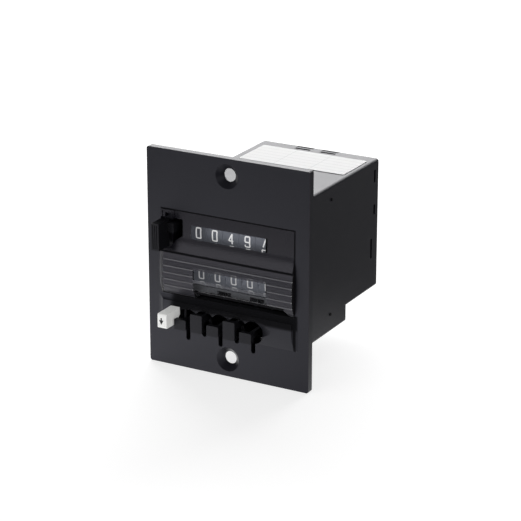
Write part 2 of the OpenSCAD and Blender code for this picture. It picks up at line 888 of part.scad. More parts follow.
module transfer_pinion_4() {
    transfer_pinion(4);
}

// Preset wheel: ten ratchet notches in the left edge of its rim
module preset_wheel(i) {
    x = wheel_x(i);
    notch_t = 1;
    depth = 0.7;
    color(wheel_col)
    translate([0, preset_y, preset_z])
    difference() {
        drum(x, wheel_pitch / 2 - 0.02, i == 5 ? frame_right_x - 0.2 - x : wheel_pitch / 2 - 0.02);
        for (k = [0:9])
            along_x(x - wheel_w / 2 - 1, x - wheel_w / 2 + notch_t)
                rotate(36 * k)
                    polygon([[wheel_r - depth, -0.2], [wheel_r + 1, -0.2], [wheel_r + 1, 2.4], [wheel_r + 0.05, 1.9]]);
    }
}

module preset_wheel_1() {
    preset_wheel(1);
}

module preset_wheel_2() {
    preset_wheel(2);
}

module preset_wheel_3() {
    preset_wheel(3);
}

module preset_wheel_4() {
    preset_wheel(4);
}

module preset_wheel_5() {
    preset_wheel(5);
}

// Cross bar that the detent comb is fixed to
module detent_bar() {
    color(inner_col)
        block([frame_left_x + frame_t, trip_y - 0.2, preset_z + 5.7], [frame_right_x, bulk_y, preset_z + 9.1]);
}

// Spring strip with a tongue for each preset wheel
module detent_comb() {
    y1 = trip_y - 0.2;
    y0 = y1 - 0.3;
    tip = preset_y + wheel_r + 0.4;
    color(steel_col) {
        block([row_left, y0, preset_z + 5.9], [row_right, y1, preset_z + 8.9]);
        for (i = [1:5])
            along_x(wheel_x(i) - 1.8, wheel_x(i) + 1.8)
                polygon([[y1, preset_z + 6], [y0, preset_z + 6], [y0, preset_z + 0.9], [tip, preset_z],
                    [y0, preset_z - 0.9], [y1, preset_z - 0.9]]);
    }
}

// Lever of a setting key without its head, drawn in Y and Z
module lever_profile(low, high) {
    side = [-finger_dir[1], finger_dir[0]];
    pivot = [key_pivot_y, key_pivot_z];
    polygon([[head_front_y + key_t - 0.2, low], [0.8, low], [spring_y - 1.6, spring_pad_z], [spring_y + 1.5, spring_pad_z],
        [key_pivot_y, key_pivot_z - key_hub_r], pivot, [key_pivot_y - 0.6, key_pivot_z + key_hub_r - 0.1],
        [2, high], [head_front_y + key_t - 0.2, high]]);
    polygon([pivot + side * 1.5, pivot + side * 0.5 + finger_dir * finger_l, pivot - side * 0.6 + finger_dir * finger_l,
        pivot - side * 1.5]);
    translate(pivot)
        circle(key_hub_r);
}

module setting_key(i) {
    x = wheel_x(i);
    sleeve_end = i == 5 ? frame_right_x - 0.2 : x + wheel_pitch / 2 - 0.1;
    head_h = key_tall(i) ? key_tall_h : key_low_h;
    neck_low = -(key_tall(i) ? neck_tall_drop : neck_low_drop);
    color(inner_col)
    difference() {
        union() {
            along_y(head_front_y, head_front_y + key_t)
                round_rect([x - key_w / 2, -key_drop], [x + key_w / 2, -key_drop + head_h], 0.35);
            along_x(x - lever_t / 2, x + lever_t / 2)
                lever_profile(neck_low, neck_low + neck_h);
            bar_x(x - wheel_pitch / 2 + 0.1, sleeve_end, key_shaft_r + 0.7, key_pivot_y, key_pivot_z);
        }
        bar_x(x - wheel_pitch, x + wheel_pitch, key_shaft_r + running_gap, key_pivot_y, key_pivot_z);
    }
}

module setting_key_1() {
    setting_key(1);
}

module setting_key_2() {
    setting_key(2);
}

module setting_key_3() {
    setting_key(3);
}

module setting_key_4() {
    setting_key(4);
}

module setting_key_5() {
    setting_key(5);
}

// Return springs under the five levers and the release key
module key_springs() {
    color(steel_col)
    for (x = concat([for (i = [1:5]) wheel_x(i)], [(stem_left_x + stem_right_x) / 2]))
        translate([x, spring_y, 0])
            rotate([90, 0, 0])
                coil_y(in_low + 0.02, spring_pad_z - 0.05, 0.55, 0.16, 4, 0, 0);
}

module release_key() {
    low = release_top - release_h;
    x = (stem_left_x + stem_right_x) / 2;
    front = -plate_t - release_reach;
    neck_low = -18.75;
    color([0.93, 0.93, 0.91])
    difference() {
        union() {
            along_x(release_left_x, release_right_x)
                polygon([[front, low + 0.3], [front + 0.3, low], [-6.2, low], [-3.5, neck_low], [-0.6, neck_low],
                    [-0.6, release_top], [front + 0.3, release_top], [front, release_top - 0.3]]);
            along_x(stem_left_x, stem_right_x)
                polygon([[-1, neck_low], [spring_y - 1.6, spring_pad_z], [spring_y + 1.5, spring_pad_z],
                    [key_pivot_y, key_pivot_z - key_hub_r], [key_pivot_y, key_pivot_z + key_hub_r], [3, release_top],
                    [-1, release_top]]);
            bar_x(stem_left_x, stem_right_x, key_hub_r, key_pivot_y, key_pivot_z);
        }
        bar_x(stem_left_x - 1, stem_right_x + 1, key_shaft_r + running_gap, key_pivot_y, key_pivot_z);
    }
}

// Reset key: ribbed head outside, web across to the stem, and a thin tail for its spring
module reset_key() {
    low = reset_z - reset_h / 2;
    high = reset_z + reset_h / 2;
    right = reset_left_x + reset_w;
    stem_low = reset_stem_z - reset_stem_h / 2;
    stem_high = reset_stem_z + reset_stem_h / 2;
    grooves = 3;
    color(inner_col) {
        difference() {
            block([reset_left_x, reset_front_y, low], [right, reset_back_y, high]);
            for (k = [1:grooves])
                block([reset_left_x + k * reset_w / (grooves + 1) - 0.15, reset_front_y - 1, low + 0.5],
                    [reset_left_x + k * reset_w / (grooves + 1) + 0.15, reset_front_y + 0.3, high - 0.5]);
        }
        block([reset_left_x + 0.5, reset_back_y - 1.6, stem_low], [stem_right_x, reset_back_y, stem_high]);
        block([stem_left_x, reset_back_y - 1.6, stem_low], [stem_right_x, reset_stem_end, stem_high]);
        bar_y(reset_stem_end - 0.1, bulk_rear, reset_tail_r, (stem_left_x + stem_right_x) / 2, reset_stem_z);
    }
}

module reset_spring() {
    color(steel_col)
        coil_y(reset_stem_end + 0.03, bulk_y - 0.03, reset_tail_r + 0.3, 0.16, 8, (stem_left_x + stem_right_x) / 2,
            reset_stem_z);
}

// Anchor with an upper and a lower pallet and a drive arm
module anchor_lever() {
    color([0.62, 0.5, 0.25])
    translate([0, anchor_y, count_z])
    difference() {
        union() {
            bar_x(star_x - 0.1, star_x + star_t + 0.1, anchor_r, 0, 0);
            along_x(star_x, star_x + star_t)
                polygon([[1.2, 0], [0.4, drive_z - count_z + 1], [-1, drive_z - count_z + 1], [-1, 2.7], [-3.4, 5.7],
                    [-4.4, 4.9], [-3, 2.6], [-1.2, 0], [-3.8, -3.1], [-5.2, -4.4], [-4.6, -5.2], [-2.6, -3.8],
                    [0.4, -1.2]]);
        }
        bar_x(star_x - 1, star_x + star_t + 1, pin_r + running_gap, 0, 0);
    }
}

module anchor_pin() {
    color(steel_col)
        bar_x(star_x - 0.2, frame_right_x + frame_t, pin_r, anchor_y, count_z);
}

// Screws through the flanges of the cylinder and the valve
drive_screw_side = 8;
drive_screw_step = 3.4;
valve_screw_side = 13.4;
screw_places = [[drive_x - drive_screw_side, drive_z - drive_screw_step],
    [drive_x - drive_screw_side, drive_z + drive_screw_step],
    [valve_x - valve_screw_side, valve_z], [valve_x + valve_screw_side, valve_z]];
flange_t = 1.6;

module drive_cylinder() {
    color([0.72, 0.73, 0.75])
    difference() {
        union() {
            bar_y(bulk_rear, cylinder_end, cylinder_r, drive_x, drive_z);
            block([drive_x - 10, bulk_rear, drive_z - 5], [drive_x, bulk_rear + flange_t, drive_z + 5]);
        }
        bar_y(bulk_rear + 1.2, cylinder_end + 1, cylinder_bore_r, drive_x, drive_z);
        bar_y(bulk_rear - 1, bulk_rear + 2, rod_r + running_gap, drive_x, drive_z);
        for (p = [screw_places[0], screw_places[1]])
            bar_y(bulk_rear - 1, bulk_rear + 3, 0.8, p[0], p[1]);
    }
}

module cylinder_cap() {
    color([0.72, 0.73, 0.75])
    difference() {
        union() {
            bar_y(cylinder_end, cap_end, cylinder_r, drive_x, drive_z);
            bar_y(cylinder_end - 1.5, cylinder_end, cylinder_bore_r, drive_x, drive_z);
            bar_y(cap_end - eps, cap_end + 2, nipple_r, drive_x, drive_z);
        }
        bar_y(cylinder_end - 3, cap_end + 3, nipple_bore_r, drive_x, drive_z);
    }
}

module drive_piston() {
    color(steel_col)
    difference() {
        union() {
            bar_y(piston_front_y, piston_y + eps, rod_r, drive_x, drive_z);
            bar_y(piston_y, piston_y + piston_l, cylinder_bore_r - running_gap, drive_x, drive_z);
        }
        translate([drive_x, piston_y + piston_l / 2, drive_z])
            rotate([90, 0, 0])
                rotate_extrude()
                    translate([cylinder_bore_r - 0.8, -0.5])
                        square([2, 1]);
    }
}

module piston_seal() {
    color([0.1, 0.1, 0.1])
    translate([drive_x, piston_y + piston_l / 2, drive_z])
        rotate([90, 0, 0])
            rotate_extrude()
                translate([cylinder_bore_r - running_gap - 0.37, 0])
                    circle(0.36);
}

module drive_spring() {
    color(steel_col)
        coil_y(bulk_rear + 1.25, piston_y - 0.03, rod_r + 1.1, 0.25, 5, drive_x, drive_z);
}

module valve_body() {
    half_l = port_pitch + 4;
    color([0.3, 0.31, 0.33])
    difference() {
        union() {
            block([valve_x - half_l, bulk_rear, valve_z - 5], [valve_x + half_l, valve_end, valve_z + 5]);
            block([valve_x - half_l - 3, bulk_rear, valve_z - 2.5], [valve_x + half_l + 3, bulk_rear + flange_t, valve_z + 2.5]);
            for (k = [1:3])
                bar_y(valve_end - eps, valve_end + 2, nipple_r, ports[k][0], ports[k][1]);
        }
        bar_y(bulk_rear - 1, bulk_rear + 2, rod_r + running_gap, valve_x, valve_z);
        bar_y(bulk_rear + 1.2, valve_end - 3, 2.2, valve_x, valve_z);
        bar_x(valve_x - port_pitch, valve_x + port_pitch, 0.7, bulk_rear + 5, valve_z);
        for (k = [1:3])
            bar_y(k == 2 ? valve_end - 4 : bulk_rear + 4.4, valve_end + 3, nipple_bore_r, ports[k][0], ports[k][1]);
        for (p = [screw_places[2], screw_places[3]])
            bar_y(bulk_rear - 1, bulk_rear + 3, 0.8, p[0], p[1]);
    }
}

module valve_plunger() {
    tip = trip_y + 1.1;
    color([0.85, 0.84, 0.8]) {
        bar_y(tip, bulk_rear + 4, rod_r, valve_x, valve_z);
        bar_y(bulk_rear + 1.3, bulk_rear + 3, 2.2 - running_gap, valve_x, valve_z);
        bar_y(bulk_rear + 5.9 - 2, bulk_rear + 7, 0.8, valve_x, valve_z);
    }
}

module valve_spring() {
    color(steel_col)
        coil_y(bulk_rear + 3.03, valve_end - 3.03, 1.55, 0.2, 7, valve_x, valve_z);
}

// Comb that feels the preset wheels and moves the valve's plunger
module trip_comb() {
    hub = 1.5;
    near = [preset_y, preset_z] + (wheel_r + 0.45) * [cos(48), -sin(48)];
    top = valve_z + 1.6;
    back = trip_y + 0.9;
    left = wheel_x(1) - 1;
    right = wheel_x(5) + 1;
    color([0.3, 0.31, 0.33])
    difference() {
        union() {
            bar_x(frame_left_x + frame_t + 0.15, frame_right_x - 0.15, hub, trip_y, trip_z);
            along_x(left, right)
                polygon([[trip_y - 0.3, trip_z], [trip_y - 0.3, trip_z + 4], [back, trip_z + 4], [back, trip_z]]);
            along_x(valve_x - 2.5, valve_x + 2.5)
                plain_rect([trip_y - 0.3, trip_z + 3.9], [back, top]);
            for (i = [1:5])
                along_x(wheel_x(i) - 0.8, wheel_x(i) + 0.8)
                    polygon([[trip_y, trip_z + 3.9], near, near - [0.2, 0.8], [trip_y, trip_z + 2]]);
        }
        bar_x(frame_left_x, frame_right_x + 1, pin_r + running_gap, trip_y, trip_z);
    }
}

module trip_pin() {
    color(steel_col)
        bar_x(frame_left_x, frame_right_x + frame_t, pin_r, trip_y, trip_z);
}

// Block with the M5 ports behind and a nipple for each in front
manifold_half_w = 19;
manifold_half_h = 5.5;
manifold_arm = 6;
manifold_rise = 4;

module manifold() {
    color([0.72, 0.73, 0.75])
    difference() {
        union() {
            block([-manifold_half_w, manifold_y, valve_z - manifold_half_h],
                [manifold_half_w, shell_l, valve_z + manifold_half_h]);
            block([drive_x - manifold_arm, manifold_y, valve_z + manifold_half_h - eps],
                [manifold_half_w, shell_l, drive_z + manifold_rise]);
            for (p = ports)
                bar_y(manifold_y - 2, manifold_y + eps, nipple_r, p[0], p[1]);
        }
        for (p = ports) {
            bar_y(shell_l - port_depth, shell_l + 1, port_r, p[0], p[1]);
            bar_y(manifold_y - 3, shell_l - port_depth + 1, nipple_bore_r, p[0], p[1]);
        }
    }
}

// Soft tubes from the manifold's nipples to the cylinder and the valve
module air_tubes() {
    color([0.2, 0.22, 0.25])
    for (k = [0:3]) {
        y0 = k == 0 ? cap_end : valve_end;
        difference() {
            bar_y(y0 + tube_gap, manifold_y - tube_gap, tube_r, ports[k][0], ports[k][1]);
            bar_y(y0 - 1, manifold_y + 1, nipple_r, ports[k][0], ports[k][1]);
        }
    }
}

// Four small screws with a hexagon socket
module chassis_screws() {
    head_h = 1;
    color(steel_col)
    for (p = screw_places)
        difference() {
            union() {
                bar_y(bulk_y + 0.5, bulk_rear + flange_t, 0.8, p[0], p[1]);
                bar_y(bulk_rear + flange_t, bulk_rear + flange_t + head_h, 1.3, p[0], p[1]);
            }
            translate([p[0], bulk_rear + flange_t + 0.4, p[1]])
                rotate([-90, 0, 0])
                    cylinder(h = 2, r = 0.75, $fn = 6);
        }
}

front_plate();
counter_lens();
preset_cover();
number_mask();
housing_shell();
rear_cover();
type_label();
side_frame_left();
side_frame_right();
bulkhead();
counter_shaft();
preset_shaft();
key_shaft();
pinion_carriers();
count_wheel_1();
count_wheel_2();
count_wheel_3();
count_wheel_4();
count_wheel_5();
star_wheel();
transfer_pinion_1();
transfer_pinion_2();
transfer_pinion_3();
transfer_pinion_4();
preset_wheel_1();
preset_wheel_2();
preset_wheel_3();
preset_wheel_4();
preset_wheel_5();
detent_bar();
detent_comb();
setting_key_1();
setting_key_2();
setting_key_3();
setting_key_4();
setting_key_5();
key_springs();
release_key();
reset_key();
reset_spring();
anchor_lever();
anchor_pin();
drive_cylinder();
cylinder_cap();
drive_piston();
piston_seal();
drive_spring();
valve_body();
valve_plunger();
valve_spring();
trip_comb();
trip_pin();
manifold();
air_tubes();
chassis_screws();
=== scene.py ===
"""Panel-mounted pneumatic timer: its numbers, marks, finishes and studio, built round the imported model."""

import json
import math

import bpy
from bpy.props import FloatProperty, FloatVectorProperty, PointerProperty
from mathutils import Matrix, Vector


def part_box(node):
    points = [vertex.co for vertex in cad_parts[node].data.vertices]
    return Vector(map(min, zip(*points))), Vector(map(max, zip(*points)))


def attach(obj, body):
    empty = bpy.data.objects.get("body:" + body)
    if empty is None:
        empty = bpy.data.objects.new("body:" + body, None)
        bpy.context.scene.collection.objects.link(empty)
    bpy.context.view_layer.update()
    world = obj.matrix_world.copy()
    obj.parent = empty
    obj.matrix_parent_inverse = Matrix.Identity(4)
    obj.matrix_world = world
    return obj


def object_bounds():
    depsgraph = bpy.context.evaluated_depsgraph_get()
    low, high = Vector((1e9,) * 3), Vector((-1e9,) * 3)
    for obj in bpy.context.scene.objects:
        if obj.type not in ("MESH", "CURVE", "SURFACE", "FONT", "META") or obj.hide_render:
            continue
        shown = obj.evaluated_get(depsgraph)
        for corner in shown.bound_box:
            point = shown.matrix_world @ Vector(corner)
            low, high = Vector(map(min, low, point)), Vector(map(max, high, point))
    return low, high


bl_info = {
    "name": "Pneumatic Timer",
    "version": (1, 0, 0),
    "blender": (4, 5, 0),
    "location": "View3D > Sidebar > Timer",
    "description": "Numbers, marks, finishes and studio for a panel-mounted pneumatic timer",
    "category": "Object",
}

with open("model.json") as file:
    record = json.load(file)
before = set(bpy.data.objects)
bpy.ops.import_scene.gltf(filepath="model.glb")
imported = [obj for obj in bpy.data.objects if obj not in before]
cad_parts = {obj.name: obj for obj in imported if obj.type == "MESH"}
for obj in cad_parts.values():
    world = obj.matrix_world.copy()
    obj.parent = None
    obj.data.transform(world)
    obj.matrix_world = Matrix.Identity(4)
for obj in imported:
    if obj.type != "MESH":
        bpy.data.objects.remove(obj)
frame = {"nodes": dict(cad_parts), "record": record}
cad_low, cad_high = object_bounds()

MM = 0.001
WHEELS = 5
WHEEL_WIDTH = 6 * MM
RIM_RADIUS = 7.3 * MM

# Ends of the cover's smooth field, where its ribs break off, and the middle part of its cut-out
FIELD_LEFT = -12.2 * MM
FIELD_RIGHT = 15.4 * MM
CUT_LEFT = -10.2 * MM
CUT_RIGHT = 21.4 * MM
CUT_RISE = 1.9 * MM

# Near black: the black mask's own colour, and the colour of painted shade
NEAR_BLACK = (0.002, 0.002, 0.0025)


# Places on the pieces


def box_centre(node):
    """Centre of a CAD node's box."""
    low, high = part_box(node)
    return (Vector(low) + Vector(high)) / 2


def print_window():
    """Low and high corner of the clear field in the lens, whose other parts are printed black."""
    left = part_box("count_wheel_1")[0][0] + 4.5 * MM
    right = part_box("count_wheel_5")[1][0] + 0.9 * MM
    middle = box_centre("count_wheel_1").z
    return (left, 0, middle + 0.1 * MM), (right, 0, middle + 5.0 * MM)


def cover_window():
    """Low and high corner of the cover's smooth field, which lets the preset numbers be read."""
    low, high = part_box("preset_cover")
    return (FIELD_LEFT, 0, low[2]), (FIELD_RIGHT, 0, high[2] - 4.4 * MM)


def cut_band(low_rise, high_rise):
    """Low and high corner of a band along the cut-out's upper edge, between two heights over it."""
    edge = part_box("preset_cover")[0][2] + CUT_RISE
    return (CUT_LEFT, -1, edge + low_rise), (CUT_RIGHT, 1, edge + high_rise)


def shaded_strip():
    """Low and high corner of the strip across the smooth field where the numbers pass into shade, which is
    painted on the cover.
    """
    low, high = cover_window()
    return (low[0] - 1 * MM, 0, high[2] - 4.9 * MM), (high[0] + 1 * MM, 0, high[2] - 3.1 * MM)


# Sizes and colours that a user would change


class TIMER_PG_numbers(bpy.types.PropertyGroup):
    height: FloatProperty(
        name="Number height", description="Height of a number on a wheel",
        default=3.55 * MM, min=3 * MM, max=4 * MM, unit="LENGTH", precision=4)
    preset_height: FloatProperty(
        name="Preset number height", description="Height of a number on a preset wheel",
        default=3.2 * MM, min=3 * MM, max=4 * MM, unit="LENGTH", precision=4)
    width: FloatProperty(
        name="Number width", description="Width of a number on a wheel",
        default=1.7 * MM, min=1 * MM, max=3 * MM, unit="LENGTH", precision=4)
    stroke: FloatProperty(
        name="Stroke width", description="Width of a painted stroke",
        default=0.48 * MM, min=0.2 * MM, max=0.7 * MM, unit="LENGTH", precision=4)
    corner: FloatProperty(
        name="Corner radius", description="Radius of a number's corners",
        default=0.4 * MM, min=0.1 * MM, max=0.6 * MM, unit="LENGTH", precision=4)
    paint: FloatProperty(
        name="Paint height", description="How far the paint stands on the rim",
        default=0.02 * MM, min=0.01 * MM, max=0.05 * MM, unit="LENGTH", precision=5)


class TIMER_PG_finish(bpy.types.PropertyGroup):
    moulding: FloatVectorProperty(
        name="Plate and housing", description="Colour of the plate and the housing",
        subtype="COLOR", default=(0.0075, 0.0075, 0.011), min=0, max=1)
    print: FloatVectorProperty(
        name="Lens print", description="Colour of the print on the lens",
        subtype="COLOR", default=(0.0055, 0.005, 0.008), min=0, max=1)
    key: FloatVectorProperty(
        name="Setting keys", description="Colour of the setting keys and the reset key",
        subtype="COLOR", default=(0.007, 0.007, 0.0085), min=0, max=1)
    inside: FloatVectorProperty(
        name="Inside", description="Colour of the dull parts inside",
        subtype="COLOR", default=(0.008, 0.008, 0.0085), min=0, max=1)
    wheel: FloatVectorProperty(
        name="Number wheels", description="Colour of the number wheels",
        subtype="COLOR", default=(0.25, 0.265, 0.31), min=0, max=1)
    strip: FloatVectorProperty(
        name="Mask strip", description="Colour of the strip under the lower window",
        subtype="COLOR", default=(0.17, 0.175, 0.19), min=0, max=1)
    white: FloatVectorProperty(
        name="White mouldings", description="Colour of the white mouldings",
        subtype="COLOR", default=(0.8, 0.8, 0.785), min=0, max=1)
    number: FloatVectorProperty(
        name="Numbers", description="Colour of the painted numbers",
        subtype="COLOR", default=(0.95, 0.95, 0.95), min=0, max=1)
    label: FloatVectorProperty(
        name="Label", description="Colour of the bare label",
        subtype="COLOR", default=(0.4, 0.4, 0.4), min=0, max=1)
    # Darker than the other numbers' white: painted shade for the numbers behind the ribbed cover
    preset_number: FloatVectorProperty(
        name="Preset numbers", description="Colour of the numbers behind the ribbed cover",
        subtype="COLOR", default=(0.72, 0.72, 0.73), min=0, max=1)
    # The rib edges are pale bars that paint the ribs' highlights
    rib: FloatVectorProperty(
        name="Rib edges", description="Colour of the lit edges of the cover's ribs",
        subtype="COLOR", default=(0.6, 0.6, 0.62), min=0, max=1)
    grain: FloatProperty(
        name="Moulding grain", description="Size of the grain on black mouldings",
        default=0.25 * MM, min=0.05 * MM, max=1 * MM, unit="LENGTH", precision=5)


class TIMER_PG_studio(bpy.types.PropertyGroup):
    front: FloatProperty(
        name="Front softbox", description="Power of the softbox in front at the left",
        default=4.4, min=0, soft_max=60)
    back: FloatProperty(
        name="Back softbox", description="Power of the softbox behind the object",
        default=22, min=0, soft_max=60)
    side: FloatProperty(
        name="Side softbox", description="Power of the softbox at the right",
        default=3.5, min=0, soft_max=60)
    fill: FloatProperty(
        name="Room light", description="Strength of the even light from all round",
        default=0.2, min=0, soft_max=2)
    # The floor's tone across X is painted light and shade: paler at the left, darker at the right
    floor_left: FloatProperty(
        name="Floor tone at the left",
        description="How pale the floor at the left is to everything but the camera",
        default=0.9, min=0, max=1)
    floor_right: FloatProperty(
        name="Floor tone at the right",
        description="How pale the floor at the right is to everything but the camera",
        default=0.3, min=0, max=1)


# Node trees


def node(tree, kind, place=(0, 0), **values):
    """Adds a node, and sets its sockets and settings by name."""
    made = tree.nodes.new(kind)
    made.location = place
    for name, value in values.items():
        if hasattr(made, name):
            setattr(made, name, value)
        else:
            made.inputs[name.replace("_", " ")].default_value = value
    return made


def join(tree, start, socket, end, name):
    """Links an output socket to an input socket."""
    tree.links.new(start.outputs[socket], end.inputs[name])


def new_group(name, kind, inputs, outputs, start_spot, end_spot):
    """Node group with its sockets, each given as a name and a kind, and its two end nodes."""
    tree = bpy.data.node_groups.new(name, kind)
    for way, sockets in (("INPUT", inputs), ("OUTPUT", outputs)):
        for label, socket in sockets:
            tree.interface.new_socket(label, in_out=way, socket_type="NodeSocket" + socket)
    return tree, node(tree, "NodeGroupInput", start_spot), node(tree, "NodeGroupOutput", end_spot)


def laid_over(tree, under, over, mask, spot):
    """Output of a Mix node that lays a value over a value or a socket, as far as a mask says."""
    coloured = not isinstance(over, float)
    mix = node(tree, "ShaderNodeMix", spot, data_type="RGBA" if coloured else "FLOAT")
    # The node keeps sockets for every kind of data: numbers are 2 and 3, colours are 6 and 7
    first = 6 if coloured else 2
    if isinstance(under, bpy.types.NodeSocket):
        tree.links.new(under, mix.inputs[first])
    else:
        mix.inputs[first].default_value = under
    mix.inputs[first + 1].default_value = over
    tree.links.new(mask, mix.inputs[0])
    return mix.outputs[2 if coloured else 0]


def moulded_grain():
    """Shader node group for the fine grain of a moulding: a tone, a roughness and a height."""
    name = "moulded_grain"
    if name in bpy.data.node_groups:
        return bpy.data.node_groups[name]
    levels = (("Grain Density", 4000), ("Base Roughness", 0.45), ("Tone Spread", 0.15))
    tree, start, end = new_group(
        name, "ShaderNodeTree", [("Place", "Vector")] + [(label, "Float") for label, value in levels],
        [("Tone", "Float"), ("Roughness", "Float"), ("Height", "Float")], (-700, 0), (500, 0))
    for label, value in levels:
        tree.interface.items_tree[label].default_value = value
    fine = node(tree, "ShaderNodeTexNoise", (-450, 150), Detail=2.0, Roughness=0.6)
    broad = node(tree, "ShaderNodeTexNoise", (-450, -150), Scale=90.0, Detail=3.0, Roughness=0.55)
    join(tree, start, "Place", fine, "Vector")
    join(tree, start, "Grain Density", fine, "Scale")
    join(tree, start, "Place", broad, "Vector")
    centred = node(tree, "ShaderNodeMath", (-220, -150), operation="SUBTRACT")
    centred.inputs[1].default_value = 0.5
    join(tree, broad, "Fac", centred, 0)
    spread = node(tree, "ShaderNodeMath", (-40, -150), operation="MULTIPLY_ADD")
    spread.inputs[2].default_value = 1.0
    join(tree, centred, 0, spread, 0)
    join(tree, start, "Tone Spread", spread, 1)
    dull = node(tree, "ShaderNodeMath", (150, -50), operation="MULTIPLY")
    join(tree, start, "Base Roughness", dull, 0)
    join(tree, spread, 0, dull, 1)
    join(tree, spread, 0, end, "Tone")
    join(tree, dull, 0, end, "Roughness")
    join(tree, fine, "Fac", end, "Height")
    return tree


def new_material(name):
    """Empty node material with its output."""
    material = bpy.data.materials.new(name)
    material.use_nodes = True
    tree = material.node_tree
    tree.nodes.clear()
    return material, tree, node(tree, "ShaderNodeOutputMaterial", (700, 0))


def moulding(name, colour, roughness=0.45, density=4000.0, depth=0.02, spread=0.15, shine=0.25,
             metal=0.0, glow=0.0):
    """Finish with a fine grain, for plastic and metal pieces; grain depth is in millimetres, glow is painted
    light.
    """
    material, tree, output = new_material(name)
    shader = node(
        tree, "ShaderNodeBsdfPrincipled", (400, 0),
        Specular_IOR_Level=shine, Specular_Tint=(1, 1, 1, 1) if metal else (0.9, 0.9, 1, 1), Metallic=metal,
        Emission_Color=(*colour, 1), Emission_Strength=glow)
    place = node(tree, "ShaderNodeTexCoord", (-500, 0))
    grain = node(tree, "ShaderNodeGroup", (-250, 0), node_tree=moulded_grain())
    grain.inputs["Grain Density"].default_value = density
    grain.inputs["Base Roughness"].default_value = roughness
    grain.inputs["Tone Spread"].default_value = spread
    tint = node(tree, "ShaderNodeVectorMath", (0, 150), operation="SCALE")
    tint.inputs[0].default_value = colour
    bump = node(tree, "ShaderNodeBump", (0, -200), Strength=0.5, Distance=depth * MM)
    join(tree, place, "Object", grain, "Place")
    join(tree, grain, "Tone", tint, "Scale")
    join(tree, tint, "Vector", shader, "Base Color")
    join(tree, grain, "Roughness", shader, "Roughness")
    join(tree, grain, "Height", bump, "Height")
    join(tree, bump, "Normal", shader, "Normal")
    join(tree, shader, "BSDF", output, "Surface")
    return material


def bare_metal(name, colour, roughness, density=2500, depth=0.01, spread=0.3):
    """Finish of a metal piece with fine tool marks."""
    return moulding(name, colour, roughness, density, depth, spread, shine=0.5, metal=1.0)


def lit_borders():
    """Shader node group: how near a point is to the borders of a box, in X and Z, and whether it is in."""
    name = "lit_borders"
    if name in bpy.data.node_groups:
        return bpy.data.node_groups[name]
    tree, start, end = new_group(
        name, "ShaderNodeTree",
        [(label, "Vector") for label in ("Place", "Low Corner", "High Corner", "Low Width", "High Width")],
        [("Border", "Float"), ("Field", "Float")], (-900, 0), (500, 0))
    nearest = []
    for row, (first, second, width) in enumerate((
            ("Place", "Low Corner", "Low Width"), ("High Corner", "Place", "High Width"))):
        reach = node(tree, "ShaderNodeVectorMath", (-650, -250 * row), operation="SUBTRACT")
        join(tree, start, first, reach, 0)
        join(tree, start, second, reach, 1)
        share = node(tree, "ShaderNodeVectorMath", (-450, -250 * row), operation="DIVIDE")
        join(tree, reach, "Vector", share, 0)
        join(tree, start, width, share, 1)
        nearest.append(share)
    least = node(tree, "ShaderNodeVectorMath", (-250, 0), operation="MINIMUM")
    join(tree, nearest[0], "Vector", least, 0)
    join(tree, nearest[1], "Vector", least, 1)
    parts = node(tree, "ShaderNodeSeparateXYZ", (-70, 0))
    join(tree, least, "Vector", parts, "Vector")
    either = node(tree, "ShaderNodeMath", (100, 0), operation="MINIMUM")
    join(tree, parts, "X", either, 0)
    join(tree, parts, "Z", either, 1)
    soft = node(tree, "ShaderNodeMapRange", (280, 0), interpolation_type="SMOOTHSTEP",
                From_Min=0.8, From_Max=1.2, To_Min=1.0, To_Max=0.0)
    join(tree, either, 0, soft, "Value")
    inner = node(tree, "ShaderNodeMath", (400, -150), operation="SUBTRACT")
    inner.inputs[0].default_value = 1.0
    join(tree, soft, "Result", inner, 1)
    join(tree, soft, "Result", end, "Border")
    join(tree, inner, 0, end, "Field")
    return tree


def bordered(tree, place, low, high, low_width, high_width, spot):
    """Border group set to a box's corners and to the widths of its rims."""
    made = node(tree, "ShaderNodeGroup", spot, node_tree=lit_borders())
    for label, value in (("Low Corner", low), ("High Corner", high), ("Low Width", low_width),
                         ("High Width", high_width)):
        made.inputs[label].default_value = value
    join(tree, place, "Object", made, "Place")
    return made


